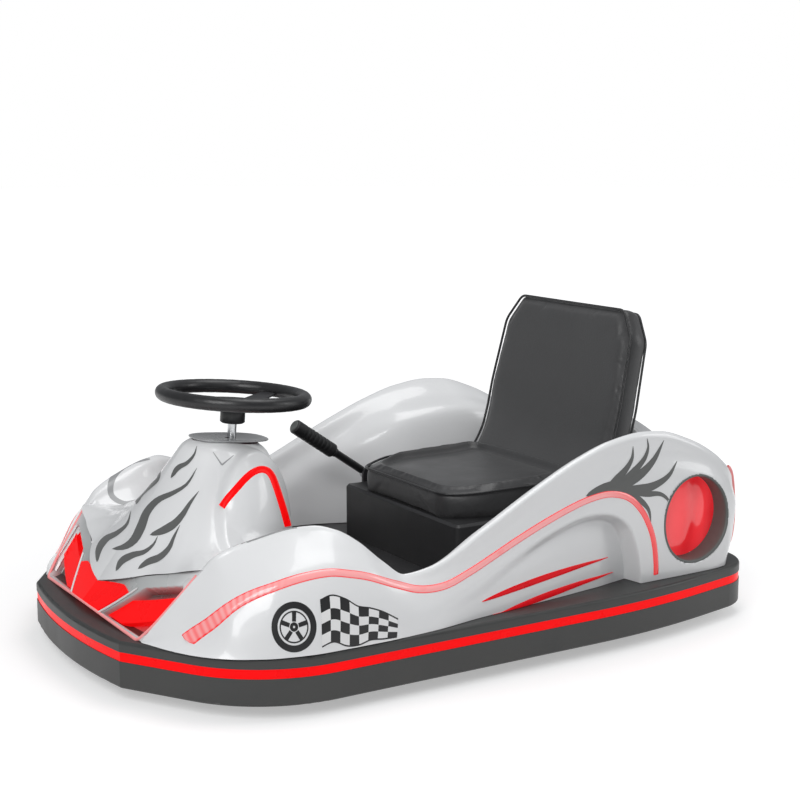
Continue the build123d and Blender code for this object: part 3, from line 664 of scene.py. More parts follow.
def side_skin(x):
    """Points (station, across, 3): each section is a monotone cubic through eleven control points.

    The controls go from the outer foot over belly, shoulder, flute and crest to knee and inner foot.
    """
    foot = np.column_stack([along(foot_line, x)[:, 0], np.full(len(x), BASE_Z + 1)])
    lines = (shoulder_line, crest_line, knee_line, inner_foot_line)
    shoulder, crest, knee, inner = (along(line, x) for line in lines)
    belly = np.clip((shoulder[:, 1:] - BASE_Z) * 0.05, 0, 8)
    low = foot + (shoulder - foot) * 0.5 + np.array([1, 0]) * belly
    rise = np.clip((crest[:, 1:] - shoulder[:, 1:]) / 60, 0.02, 1)
    upper = shoulder + (crest - shoulder) * 0.55 + np.array([1, 0]) * 3 * rise
    lip_out = crest + np.array([10, -8]) * rise
    lip_in = crest + np.array([-15, -6]) * rise
    wall = lip_in + (knee - lip_in) * 0.45 + np.array([4, 0]) * rise
    low_wall = knee + (inner - knee) * 0.5
    control = np.stack([foot, low, shoulder, upper, lip_out, crest, lip_in, wall, knee, low_wall, inner])
    knots = np.array([0, 1, 2, 3, 3.7, 4.1, 4.5, 5.3, 6.3, 7.2, 8.0])
    share = np.concatenate([
        np.linspace(0, 3, OUTER_COLUMNS), np.linspace(3, 4.6, CREST_COLUMNS - OUTER_COLUMNS + 1)[1:],
        np.linspace(4.6, 8, 30)[1:],
    ])
    curve = monotone(knots, control, share).transpose(1, 0, 2)
    return np.concatenate([np.broadcast_to(x[:, None, None], curve.shape[:2] + (1,)), curve], axis=2)


# %% [markdown]
# Behind an arch in the flank the skin is sunk, deeper towards the tail, and a round port is cut in the rear
# fender. Modelling these as separate cuts would leave hard seams in a moulding that has none, so the same
# skin is pushed inwards: how far a point lies inside the arch decides how much of the depth it gets.

# %% Recess and port
arch = bend([
    (165, 145), (141, 180), (63, 199), (-18, 229), (-101, 264), (-181, 291), (-253, 305), (-321, 299),
    (-368, 268), (-397, 205), (-412, 140), (-416, 90),
], 90)
recess_depth = np.array([
    (-440, 52), (-403, 50), (-314, 32), (-190, 20), (-71, 12), (60, 5), (150, 0), (200, 0),
])
PORT_CENTRE, PORT_RADIUS, PORT_FLOOR = np.array([-577.0, 261.0]), 100.0, 438.0


def sink(points):
    """Move the outer skin inwards behind the arch and in the port."""
    x, flat = points[..., 0], points[..., [0, 2]]
    outer = np.zeros(points.shape[:2])
    outer[:, :OUTER_COLUMNS + 4] = 1.0
    closed = np.vstack([arch, [(-416, -300), (165, -300)]])
    inside = inside_distance(closed, flat)
    edge = np.interp(x, [-420, -360, -200, 100], [5, 12, 20, 30])
    depth = np.interp(x, *recess_depth.T) * soft_step(inside, -0.35 * edge, edge)
    hole = 1 - soft_step(np.linalg.norm(flat - PORT_CENTRE, axis=-1), PORT_RADIUS, PORT_RADIUS + 3)
    across = points[..., 1] - outer * depth
    floor = across * (1 - hole) + (PORT_FLOOR - 8) * hole
    moved = points.copy()
    moved[..., 1] = np.where((outer > 0) & (hole > 0), floor, across)
    return moved


side_points = sink(side_skin(side_x))
print("side shell grid:", side_points.shape)

# %% [markdown]
# The tail end of each side is closed by rows that turn inwards over a rounded edge, so no open rim shows
# from behind.

# %% Tail end


def with_tail(points):
    """Add rows that shrink the last section towards its foot's middle and move back by a quarter ellipse."""
    last = points[-1]
    middle = np.array([last[:, 0].mean(), 0.5 * (last[0, 1] + last[-1, 1]), BASE_Z + 1])
    share = np.array([0.012, 0.03, 0.06, 0.2, 0.5, 0.97])[:, None, None]
    back = np.array([1.6, 2.8, 3.6, 4.0, 4.0, 4.0])[:, None]
    rows = last + (middle - last) * share
    rows[..., 0] = last[0, 0] - back
    return np.concatenate([points, rows])


for side, flip in SIDES:
    points = with_tail(side_points)
    skin = grid_piece(f"side_shell_skin_{side}", mirrored(points) if flip else points, flip=not flip)
    finished(skin, WHITE, "body", "body_white", f"side_shell_{side}")
print("side shells:", len(skin.data.polygons), "faces each")

# %% [markdown]
# Things that lie on the side skin, such as the light strip, are placed by x and z. A table turns each x and
# z into a row and a column of the grid, so that what lies there follows the skin exactly.

# %% Places on the side skin
side_crest_z = side_points[:, CREST_COLUMNS - 12, 2]
levels = np.linspace(0, 1, 240)
column_at = np.stack([
    np.interp(BASE_Z + levels * (top - BASE_Z), row[:CREST_COLUMNS - 11, 2], np.arange(CREST_COLUMNS - 11.0))
    for row, top in zip(side_points, side_crest_z)
])


def side_spots(line):
    """(row, column) of points on the outer skin, given by x and z."""
    line = np.asarray(line, float)
    row = np.interp(-line[:, 0], -side_x, np.arange(float(len(side_x))))
    top = np.interp(-line[:, 0], -side_x, side_crest_z)
    level = (line[:, 1] - BASE_Z) / (top - BASE_Z) * (len(levels) - 1)
    return np.column_stack([row, sample(column_at[..., None], row, level)[..., 0]])


def on_side(lift=0.0, mirror=False):
    """place() for a ribbon given by x and z on the side skin; mirror puts it on the right side."""
    seat = on_skin(side_points, 1.0, lift)

    def place(flat, extra=0.0):
        spots = side_spots(flat.reshape(-1, 2)).reshape(flat.shape)
        point = seat(spots, extra)
        return mirrored(point) if mirror else point

    return place


print("skin at x 0, z 200:", on_side()(np.array([[0.0, 200.0]]), np.zeros(1))[0].round(1))

# %% [markdown]
# The side light strip is a translucent pink moulding let into the flank, with thin red edges. Its front end
# is frosted with slanted marks, and the part that comes down behind the arch glows a stronger red. The
# pattern reads the strip's own UV map, so it follows every bend.

# %% Strip finish
STRIP_PATH = bend([
    (661, 152), (628, 184), (590, 222), (548, 249), (502, 266), (450, 277), (399, 280), (355, 272),
    (312, 260), (250, 235), (193, 216), (130, 215), (65, 233), (0, 257), (-71, 285), (-140, 311),
    (-207, 333), (-265, 347), (-319, 351), (-370, 337), (-407, 303), (-432, 258), (-446, 216), (-455, 172),
    (-458, 146),
], 420)
STRIP_HALF = 8.0


def strip_material():
    """Pale pink, red at both edges, red spots along it, slanted marks at the front, full red at the tail."""
    made = Finish("side_strip", (0.9, 0.4, 0.4), 0.18)
    run = made.run()
    u, v = run["X"], run["Y"]
    edge = made.maths("ABSOLUTE", made.maths("SUBTRACT", v, 0.5))
    rim = made.ramp(edge, (0.30, 0.0), (0.42, 1.0))
    stops = ((0.0, 0.35), (0.10, 0.15), (0.30, 0.0), (0.78, 0.05), (0.88, 0.75), (1.0, 1.0))
    tail = made.ramp(u, *stops)
    spots = made.ramp(made.noise(24.0), (0.58, 0.0), (0.70, 0.8))
    slant = made.maths("ADD", made.maths("MULTIPLY", u, 620.0), made.maths("MULTIPLY", v, 7.0))
    marks = made.maths("SINE", slant)
    front = made.ramp(u, (0.10, 1.0), (0.17, 0.0))
    frost = made.maths("MULTIPLY", made.maths("MULTIPLY", marks, 0.22), front)
    share = made.maths("MAXIMUM", made.maths("MAXIMUM", rim, made.maths("MULTIPLY", spots, 0.5)), tail)
    share = made.maths("ADD", share, frost)
    colour = made.blend(share, (0.80, 0.34, 0.34), (0.72, 0.010, 0.016))
    glow = made.blend(share, (0.60, 0.22, 0.22), (0.9, 0.006, 0.01))
    made.feed(colour, "Base Color")
    made.feed(glow, "Emission Color")
    made.set("Emission Strength", 0.30)
    made.set("Coat Weight", 0.5)
    made.bump(share, 0.2)
    return made.material


STRIP = strip_material()

# %% Light strips on both sides
strip_width = STRIP_HALF * soft_step(np.linspace(0, 1, len(STRIP_PATH)), -0.002, 0.003)
for side, flip in SIDES:
    strip = ribbon(f"side_strip_{side}", STRIP_PATH, strip_width, on_side(0.2, flip), 13, crown=2.2)
    finished(strip, STRIP, "body", "lamp_pink", f"side_light_strip_{side}")
print("strip length:", round(float(np.linalg.norm(np.diff(STRIP_PATH, axis=0), axis=1).sum())), "mm")

# %% [markdown]
# Below the strip, in the recess, lie two long red slashes, pointed at both ends. Their outline is a line
# whose width grows and shrinks like half a sine wave.

# %% Slashes in the recess
for number, ends in enumerate((((38, 165), (-340, 196)), ((8, 124), (-363, 156)))):
    share = np.linspace(0, 1, 120)
    path = np.outer(1 - share, ends[0]) + np.outer(share, ends[1]) + np.outer(np.sin(math.pi * share), (0, 5))
    width = 8.5 * np.sin(math.pi * share ** 0.8) ** 0.8 + 0.15
    for side, flip in SIDES:
        slash = ribbon(f"side_slash_{number}_{side}", path, width, on_side(0.3, flip), 9, crown=1.6)
        finished(slash, RED_DEEP, "body", "lamp_red")

# %% [markdown]
# The port is a round opening with a dark wall and a red lamp at the bottom. Ring and wall are one turned
# profile, but its outer rim follows the curved skin: each point takes its depth from the skin there.

# %% Port rings and lenses
PORT_SPOKE = np.stack([np.cos(turns(144)), np.sin(turns(144))], -1)
rim_profile = np.array([(1.055, -0.6), (1.045, 0.5), (1.02, 1.2), (1.0, 0.6), (0.985, -1.5), (0.975, -5.0)])


def port_ring():
    """Rows round the port: rim rows ride on the skin, wall rows run down to the floor of the port."""
    outside = on_side()(PORT_CENTRE + PORT_SPOKE * PORT_RADIUS * 1.07, np.zeros(len(PORT_SPOKE)))[:, 1]
    rows = []
    for factor, lift in rim_profile:
        flat = PORT_CENTRE + PORT_SPOKE * PORT_RADIUS * factor
        rows.append(np.column_stack([flat[:, 0], outside + lift, flat[:, 1]]))
    edge = rows[-1]
    for share in (0.3, 0.6, 0.85, 1.0):
        floor = edge * np.array([1, 0, 1]) + np.array([0, PORT_FLOOR - 4, 0])
        rows.append(edge + (floor - edge) * share)
    return np.stack(rows, axis=1)


def port_lens():
    """Shallow dome of rings: y falls with the square of the radius's share; flutes run up and down."""
    share = np.linspace(0.0, 1.0, 26)
    flat = PORT_CENTRE + PORT_SPOKE[:, None] * (PORT_RADIUS * 0.985 * share)[None, :, None]
    flutes = 1.3 * np.cos((flat[..., 0] - PORT_CENTRE[0]) / 11.0) * (1 - share**6)
    y = PORT_FLOOR + 9.0 * (1 - share**2) + flutes
    return np.stack([flat[..., 0], y, flat[..., 1]], -1)


def lens_material():
    """Red plastic with soft upright light and dark bands, like ribs behind the lens."""
    made = Finish("port_lens", (0.7, 0.01, 0.02), 0.15)
    where = made.parts(made.place())
    across, up = made.maths("MULTIPLY", where["X"], 75.0), made.maths("MULTIPLY", where["Z"], 9.0)
    wave = made.maths("SINE", made.maths("ADD", across, up))
    bands = made.maths("MULTIPLY", made.maths("ADD", wave, 1.0), 0.5)
    share = made.maths("MULTIPLY", made.maths("ADD", bands, made.noise(16.0)), 0.55)
    made.feed(made.blend(share, (0.80, 0.03, 0.04), (0.50, 0.004, 0.01)), "Base Color")
    made.feed(made.blend(share, (1.0, 0.05, 0.06), (0.75, 0.004, 0.012)), "Emission Color")
    made.set("Emission Strength", 0.5)
    made.set("Coat Weight", 0.6)
    return made.material


LENS = lens_material()
for side, flip in SIDES:
    for name, shape, finish, slot, node in (
        ("port_ring", port_ring(), RING_GREY, "ring_grey", "port_lamp_ring"),
        ("port_lens", port_lens(), LENS, "lamp_red", "port_lamp_lens"),
    ):
        shape = np.concatenate([shape, shape[:1]])
        piece = grid_piece(f"{name}_{side}", mirrored(shape) if flip else shape, flip=flip)
        finished(piece, finish, "body", slot, f"{node}_{side}")
        print(piece.name, len(piece.data.polygons), "faces")

# %% [markdown]
# The hood falls from the steering pylon to the nose. It is laid out like a fan: from the rim at the
# pylon's top one line runs down in each direction, and each line is a smooth curve. On both sides of the
# pylon an egg-shaped swelling stands out where the driver's knees go. It is the same skin, pushed outwards
# inside an egg outline with a short soft edge.

# %% Hood and pylon
HOOD_CENTRE = np.array([400.0, 0.0])
hood_angles = np.array([0, 30, 47, 59, 75, 90, 104, 118, 135, 160, 180.0])
hood_reach = np.array([
    (70, 90, 118, 160, 205, 252, 300),
    (64, 84, 112, 155, 203, 250, 297),
    (60, 80, 108, 150, 205, 270, 340),
    (58, 78, 106, 150, 212, 300, 392),
    (56, 84, 122, 165, 196, 236, 320),
    (55, 88, 128, 158, 176, 200, 292),
    (57, 92, 126, 150, 164, 172, 200),
    (62, 96, 124, 144, 156, 161, 166),
    (74, 102, 124, 140, 150, 155, 158),
    (82, 100, 110, 116, 120, 122, 124),
    (84, 98, 105, 109, 112, 114, 116),
])
hood_height = np.array([
    (474, 464, 430, 372, 312, 250, 187),
    (474, 463, 428, 372, 318, 270, 227),
    (473, 462, 426, 372, 322, 280, 253),
    (472, 460, 424, 368, 318, 278, 276),
    (470, 458, 420, 356, 290, 262, 262),
    (468, 456, 416, 350, 285, 246, 240),
    (466, 453, 412, 345, 270, 200, 135),
    (463, 448, 408, 340, 265, 195, 133),
    (460, 444, 404, 338, 262, 195, 132),
    (457, 440, 400, 335, 260, 195, 132),
    (456, 438, 398, 334, 260, 195, 132),
])
knee_egg = bend([
    (288, 235), (283, 300), (290, 365), (312, 418), (350, 452), (395, 455), (432, 430), (464, 385),
    (492, 335), (514, 290), (512, 256), (480, 238), (420, 236), (350, 232), (288, 235),
], 120)[:-1]
KNEE_RISE = 15.0


def hood_skin():
    """Reach and height are read across the angles, then down each line.

    The knee egg is added along the normal.
    """
    degrees = np.linspace(-180, 180, 541)
    share = np.linspace(0, 6, 150)
    reach = monotone(hood_angles, hood_reach, np.abs(degrees))
    height = monotone(hood_angles, hood_height, np.abs(degrees))
    reach = monotone(np.arange(7.0), reach.T, share).T
    height = monotone(np.arange(7.0), height.T, share).T
    turn = np.radians(degrees)[:, None]
    skin = np.stack([HOOD_CENTRE[0] + reach * np.cos(turn), reach * np.sin(turn), height], -1)
    inside = inside_distance(knee_egg, skin[..., [0, 2]])
    swell = KNEE_RISE * soft_step(inside, -3, 16) * (np.abs(skin[..., 1]) > 40)
    swell = swell + 5 * soft_step(inside, 10, 80)
    normal = normals_of(skin)
    normal *= np.sign((normal[..., :2] * (skin[..., :2] - HOOD_CENTRE)).sum(-1, keepdims=True) + 1e-9)
    return skin + normal * swell[..., None]


hood_points = hood_skin()
print("hood grid:", hood_points.shape)
hood = grid_piece("hood_skin", hood_points)
weld(hood)
finished(hood, WHITE, "body", "body_white", "hood_pylon", "front_deck")

# %% [markdown]
# A thin plate closes the pylon's top. It is a flat oval with a rolled edge that stands a little proud of
# the pylon, and its middle is slightly hollow where the shaft goes through.

# %% Pylon cap
CAP_FRONT, CAP_REAR, CAP_HALF = 472.0, 292.0, 60.0
CAP_FRONT_Z, CAP_REAR_Z = 475.0, 458.0


def cap_plate():
    """Superellipse rings from the centre out, over the rolled edge and back in below.

    Height = tilt line through the front and rear edges + profile.
    """
    turn = np.linspace(0, 2 * math.pi, 161)
    profile = np.array([
        (0.10, 3.0), (0.35, 3.2), (0.7, 4.2), (0.88, 5.6), (0.96, 6.0), (0.99, 5.4), (1.0, 4.0), (0.995, 2.4),
        (0.97, 1.4), (0.90, 1.0), (0.80, 0.8),
    ])
    middle, half = 0.5 * (CAP_FRONT + CAP_REAR), 0.5 * (CAP_FRONT - CAP_REAR)
    c, s = np.cos(turn), np.sin(turn)
    power = 2 / 2.7
    flat = np.stack([np.sign(c) * np.abs(c) ** power * half, np.sign(s) * np.abs(s) ** power * CAP_HALF], -1)
    ring = flat[:, None] * profile[None, :, :1]
    x = middle + ring[..., 0]
    tilt = CAP_REAR_Z + (x - CAP_REAR) * (CAP_FRONT_Z - CAP_REAR_Z) / (CAP_FRONT - CAP_REAR)
    return np.stack([x, ring[..., 1], tilt + profile[:, 1]], -1)


cap = grid_piece("pylon_cap_plate", cap_plate())
weld(cap, turn=True)
finished(cap, CAP_GREY, "body", "box_black")

# %% [markdown]
# A red light line bends over the knee swelling. It is placed by where it shows in the picture: each pixel
# is turned into a place on the hood's grid, and the band is then laid on the skin.

# %% Knee light lines
KNEE_LINE = (
    (221.5, 507), (228, 498), (236, 489), (244, 480), (252, 473), (260, 469.5), (267, 470.5), (272, 476),
    (276, 486), (280, 498), (284, 511), (288, 526),
)


def seen_band(name, edges, skin, material, slot, lift, crown=0.0, mirror=False, across=5):
    """Band between two edge lines of the picture, laid on a skin; crown raises its middle."""
    grid, outward = skin
    count = len(edges[0])
    spots = seen_at(grid, outward, np.vstack(edges))
    share = np.linspace(0, 1, across)[None, :, None]
    flat = spots[:count, None] * (1 - share) + spots[count:, None] * share
    place = on_skin(grid, outward, lift)
    rise = np.broadcast_to(crown * (1 - (2 * share[..., 0] - 1) ** 2), flat.shape[:2])
    points, above = place(flat, rise), place(flat, rise + 1.0)
    if mirror:
        points, above = mirrored(points), mirrored(above)
    sheet = grid_piece(name, points, flip=(normals_of(points) * (above - points)).sum() > 0)
    return finished(sheet, material, "body", slot)


def edges_of(path, half_width, count=40):
    """Left and right edge of a line in the picture; the half width is in pixels, one or one per point."""
    line = bend(path, count)
    side = sideways(line) * np.broadcast_to(np.asarray(half_width, float), (count,))[:, None]
    return line + side, line - side


# A skin is a grid and the side of it that looks outwards
HOOD, FLANK, FAR_FLANK = (hood_points, -1.0), (side_points, 1.0), (mirrored(side_points), -1.0)
knee_edges = edges_of(KNEE_LINE, 3.5, 70)
for side, flip in SIDES:
    seen_band(f"knee_light_{side}", knee_edges, HOOD, RED, "lamp_red", 0.0, 2.4, flip, 11)

# %% [markdown]
# The nose is a sharp visor between the hood's edge and the lip on the bumper. Each half is a patch between
# four corners: a point is found by going across from the middle to the corner, and up from lip to hood.
# Two deep bays for the lamps are pressed into it. As on the flank, one skin is pushed in where the bays are.

# %% Visor patch
VISOR_ACROSS, VISOR_UP = 300.0, 150.0


def with_y_times(points, factor):
    """Points with their y scaled, each by its own factor."""
    one = np.ones_like(factor)
    return points * np.concatenate([one, factor, one], -1)


def visor_at(flat, lift=0.0):
    """3-D points of the visor from flat (across, up) places in millimetres; lift is square to the patch."""
    across, up = flat[..., :1] / VISOR_ACROSS, flat[..., 1:2] / VISOR_UP
    side = np.where(across < 0, -1.0, 1.0)
    across = np.abs(across)
    lip = LIP_CENTRE + (LIP_CORNER - LIP_CENTRE) * across
    edge = NOSE_TIP + (NOSE_CORNER - NOSE_TIP) * across
    point = lip + (edge - lip) * up
    along_s = (LIP_CORNER - LIP_CENTRE) * (1 - up) + (NOSE_CORNER - NOSE_TIP) * up
    normal = np.cross(along_s, edge - lip)
    normal /= np.linalg.norm(normal, axis=-1, keepdims=True)
    normal = with_y_times(normal, soft_step(across, 0.0, 0.12))
    normal /= np.linalg.norm(normal, axis=-1, keepdims=True)
    return with_y_times(point + normal * np.asarray(lift)[..., None], side)


def on_visor(shares):
    """Flat places in millimetres from shares of the visor's half width and height."""
    return np.asarray(shares, float) * (VISOR_ACROSS, VISOR_UP)


bay_outline = on_visor([
    (0.325, 0.03), (0.565, 0.74), (0.93, 0.79), (0.985, 0.70), (0.985, 0.10), (0.93, 0.03),
])
bar_outline = on_visor([(0.36, 0.06), (0.50, 0.50), (0.975, 0.66), (0.98, 0.34), (0.56, 0.05)])
# The second number is how far the painted red lamp light on the bay walls reaches from a bar.
BAY_DEPTH, LAMP_SPILL_REACH = 30.0, 34.0

# %% Visor skin with its two bays


def visor_skin():
    """Grid over both halves; inside a bay the depth grows over a few millimetres from its edge.

    The glow on the skin is painted red lamp light on the bay walls; it falls off over the spill reach from the
    red bar of its bay.
    """
    shares = np.meshgrid(np.linspace(-1, 1, 401), np.linspace(0, 1, 110), indexing="ij")
    flat = on_visor(np.stack(shares, -1))
    share = soft_step(inside_distance(bay_outline, np.abs(flat)), -0.6, 2.6)
    glow = soft_step(inside_distance(bar_outline, np.abs(flat)), -LAMP_SPILL_REACH, 2.0) ** 1.5
    return visor_at(flat, -BAY_DEPTH * share), share, glow * share


visor_points, sunk, glow = visor_skin()
visor = grid_piece("nose_visor", visor_points)


def visor_material():
    """Light grey frame that turns white towards the corners, dark grey-green inside the bays, with painted red
    lamp light on the bay walls near the bars.
    """
    made = worn("nose_visor", (0.42, 0.43, 0.43), 0.26, 9, 0.15, grain=900, bump=0.02, coat=0.5)
    depth = made.node("ShaderNodeAttribute", attribute_name="sunk")
    away = made.maths("ABSOLUTE", made.parts(made.place())["Y"])
    out = made.ramp(made.maths("MULTIPLY", away, 3.0),
                    (0.25, (0.34, 0.35, 0.35)), (0.80, (0.52, 0.53, 0.53)), (1.0, (0.75, 0.75, 0.76)))
    dark = made.ramp(made.noise(11.0), (0.35, (0.035, 0.042, 0.040)), (0.65, (0.13, 0.15, 0.145)))
    made.feed(made.blend(depth.outputs["Fac"], out, dark), "Base Color")
    # Painted red lamp light: the bay walls near the bars give off red.
    near = made.node("ShaderNodeAttribute", attribute_name="glow")
    made.set("Emission Strength", 0.55)
    made.feed(made.blend(near.outputs["Fac"], (0.0, 0.0, 0.0), (1.0, 0.02, 0.03)), "Emission Color")
    return made.material


for layer_name, level in (("sunk", sunk), ("glow", glow)):
    layer = visor.data.attributes.new(layer_name, "FLOAT", "POINT")
    layer.data.foreach_set("value", level.ravel())
finished(visor, visor_material(), "body", "nose_dark", "nose_panel_left", "nose_panel_right", "nose_shell")

# %% [markdown]
# In the middle a red lamp like a broad V lies over the visor, and in each bay a red bar runs outwards. Both
# are flat plates of red plastic. Thin pale fins part the middle lamp from the bays.

# %% Nose lamps
centre_half = [(0.0, 0.02), (0.27, 0.02), (0.44, 0.62), (0.33, 0.80), (0.0, 0.985)]
centre_outline = on_visor(centre_half + [(-x, y) for x, y in centre_half[-2:0:-1]])
centre_lamp = plate("nose_lamp_middle", centre_outline, visor_at, 3.0, -6.0, step=6.0)
finished(centre_lamp, RED, "body", "lamp_red", "nose_lamp_centre")
fin_line = evenly(on_visor([(0.297, 0.0), (0.505, 0.72)]), 30)
for side, sign in (("left", 1.0), ("right", -1.0)):
    flipped = bar_outline * (sign, 1.0)
    bar = plate(f"nose_bar_{side}", flipped, visor_at, -10.0, -26.0, step=6.0)
    finished(bar, RED, "body", "lamp_red", f"nose_lamp_{side}")
    fin = tube(f"nose_fin_{side}", visor_at(fin_line * (sign, 1.0), np.full(30, 2.0)), 2.2, 10)
    finished(fin, DECAL_WHITE, "body", "body_white")

# %% [markdown]
# A pale rail runs along the lip, from one nose corner down and across to the other, and frames the visor.

# %% Lip rail
corner_path = bend([(0.985, 0.93), (0.99, 0.6), (0.985, 0.25), (0.955, 0.02)], 40)
front_path = evenly(np.array([(0.93, -0.015), (-0.93, -0.015)]), 120)
lip_path = evenly(on_visor(np.vstack([corner_path, front_path, corner_path[::-1] * (-1, 1)])), 260)
lip = tube("lip_rail_tube", visor_at(lip_path, np.zeros(len(lip_path))), 3.2, 14)
finished(lip, PINK, "body", "lamp_pink")

# %% [markdown]
# Behind the seat a cowl joins the two rear fenders. It is a low arch whose rear face drops to the bumper.

# %% Rear cowl


def cowl_skin():
    """Arch: top = 455 - 62 |y / 240|^2.2; along it the skin rises, runs back and drops to the bumper."""
    y = np.linspace(-318, 318, 121)
    x_run = bend([
        (-560, 0.0), (-590, 0.35), (-612, 1.0), (-660, 0.985), (-705, 0.93), (-730, 0.80), (-738, 0.5),
        (-738, 0.01),
    ], 90)
    top = 455 - 62 * (np.abs(y) / 240) ** 2.2
    height = 133 + (top[:, None] - 133) * x_run[None, :, 1]
    front = x_run[:, 0] > -612
    height[:, front] = np.maximum(height[:, front], 300)
    x, across = np.broadcast_to(x_run[:, 0], height.shape), np.broadcast_to(y[:, None], height.shape)
    return np.stack([x, across, height], -1)


cowl = grid_piece("rear_cowl_skin", cowl_skin(), flip=True)
# The cowl is white body plastic; its grey finish is painted shade.
finished(cowl, COWL_PAINTED_SHADE, "body", "body_white", "rear_cowl")

# %% [markdown]
# A slim pink light runs down the rear edge of each fender. It is a tube half sunk in the body.

# %% Tail lights
tail_path = bend([
    (-716, 438, 362), (-733, 432, 340), (-742, 430, 300), (-745, 431, 250), (-744, 429, 200),
    (-740, 424, 165),
], 70)
tail_share = np.linspace(0, 1, 70)
tail_radius = 5.0 * soft_step(tail_share, -0.06, 0.05) * soft_step(tail_share[::-1], -0.06, 0.05)
for side, flip in SIDES:
    light = tube(f"tail_light_{side}", mirrored(tail_path) if flip else tail_path, tail_radius, 14)
    weld(light, turn=True)
    finished(light, PINK, "body", "lamp_pink", f"tail_light_strip_{side}")

# %% [markdown]
# The bumper, frame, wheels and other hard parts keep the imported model's shape and get the finish of the real
# piece.

# %% Finishes on the carried-over pieces
finish_of = {
    "bumper_rubber": BUMPER, "lamp_red": RED, "lamp_pink": PINK, "ring_grey": RING_GREY,
    "nose_dark": NOSE_DARK, "black_metal": BLACK_METAL, "bright_steel": STEEL, "wheel_alloy": ALLOY,
    "tyre_rubber": TYRE, "seat_hide": BOX, "box_black": BOX, "battery_case": BOX, "grip_rubber": GRIP,
    "wheel_foam": FOAM, "body_white": WHITE,
}
for entry in frame["record"]["subparts"]:
    materials = frame["nodes"][entry["node"]].data.materials
    materials.clear()
    materials.append(finish_of[entry["material_slot"]])

# %% [markdown]
# The seat is made of foam pads under a stretched black hide. A pad is a closed form: rings of one outline,
# scaled about its middle, run from the underside up the wall, over a rounded edge and in to the middle of the
# top. Real hide is cut flat and pulled over foam that pushes back, so each pad is then taken through a short
# cloth run with air pressure inside. That puts the fullness and the small folds where tension makes them,
# which painted-on wrinkles would not.

# %% Pad form


def rounded(outline, radius):
    """Closed outline with its corners rounded, as 240 evenly spaced points.

    Each corner is replaced by a quadratic curve that starts and ends a radius away from it.
    """
    outline = np.asarray(outline, float)
    before, after = np.roll(outline, 1, axis=0), np.roll(outline, -1, axis=0)
    back, ahead = before - outline, after - outline
    back_length, ahead_length = (np.linalg.norm(run, axis=1)[:, None] for run in (back, ahead))
    reach = np.minimum(np.minimum(back_length, ahead_length) * 0.48, radius)
    start = outline + back / back_length * reach
    end = outline + ahead / ahead_length * reach
    t = np.linspace(0, 1, 9)[None, :, None]
    curve = start[:, None] * (1 - t) ** 2 + 2 * outline[:, None] * t * (1 - t) + end[:, None] * t**2
    loop = curve.reshape(-1, 2)
    return evenly(np.vstack([loop, loop[:1]]), 241)[:-1]


def pad_form(outline, profile):
    """Closed rings, (rings, points, 3): profile rows are (share of the outline, height)."""
    middle = (outline.min(0) + outline.max(0)) / 2
    share, height = np.asarray(profile, float).T
    flat = middle + (outline - middle)[None] * share[:, None, None]
    return np.concatenate([flat, np.broadcast_to(height[:, None, None], flat.shape[:2] + (1,))], -1)


def closed_form(name, rings):
    """Closed mesh of rings, welded where they meet and turned outwards."""
    piece = grid_piece(name, rings, around=True)
    weld(piece, turn=True)
    return piece


VOXEL, PRESSURE, FRAMES = 5.5, 4.0, 20


def stretched(piece, cap):
    """Cloth run with pressure inside; no point ends further than cap millimetres from its drawn place."""
    remesh = piece.modifiers.new("remesh", "REMESH")
    remesh.mode, remesh.voxel_size, remesh.use_smooth_shade = "VOXEL", VOXEL * MM, True
    bake(piece)
    start = read_points(piece)
    cloth = piece.modifiers.new("cloth", "CLOTH")
    cloth.settings.use_pressure = True
    cloth.settings.uniform_pressure_force = PRESSURE
    cloth.settings.effector_weights.gravity = 0.0
    cloth.settings.tension_stiffness = cloth.settings.compression_stiffness = 22.0
    cloth.settings.bending_stiffness = 1.2
    cloth.point_cache.frame_start, cloth.point_cache.frame_end = 1, FRAMES
    for step in range(1, FRAMES + 1):
        bpy.context.scene.frame_set(step)
    bake(piece)
    moved = read_points(piece) - start
    size = np.linalg.norm(moved, axis=1, keepdims=True)
    moved *= np.minimum(1.0, cap / np.maximum(size, 1e-6))
    piece.data.vertices.foreach_set("co", ((start + moved) * MM).ravel())
    bpy.context.scene.frame_set(1)
    print(piece.name, "largest move", round(float(size.max()), 1), "mm, kept under", cap)
    fine = piece.modifiers.new("fine", "SUBSURF")
    fine.levels = fine.render_levels = 1
    bake(piece)
    piece.data.polygons.foreach_set("use_smooth", np.full(len(piece.data.polygons), True))
    return piece


def bake(piece):
    """Replace a piece's mesh by what its modifiers make of it."""
    graph = bpy.context.evaluated_depsgraph_get()
    made = bpy.data.meshes.new_from_object(piece.evaluated_get(graph))
    piece.modifiers.clear()
    piece.data = made


def read_points(piece):
    """Points of a mesh in millimetres, (n, 3)."""
    out = np.empty(len(piece.data.vertices) * 3)
    piece.data.vertices.foreach_get("co", out)
    return out.reshape(-1, 3) / MM


def piping(name, loop, radius):
    """Sewn cord round a pad."""
    cord = tube(name, loop, radius, 12, closed=True)
    weld(cord, turn=True)
    finished(cord, PIPING, "body", "seat_hide")
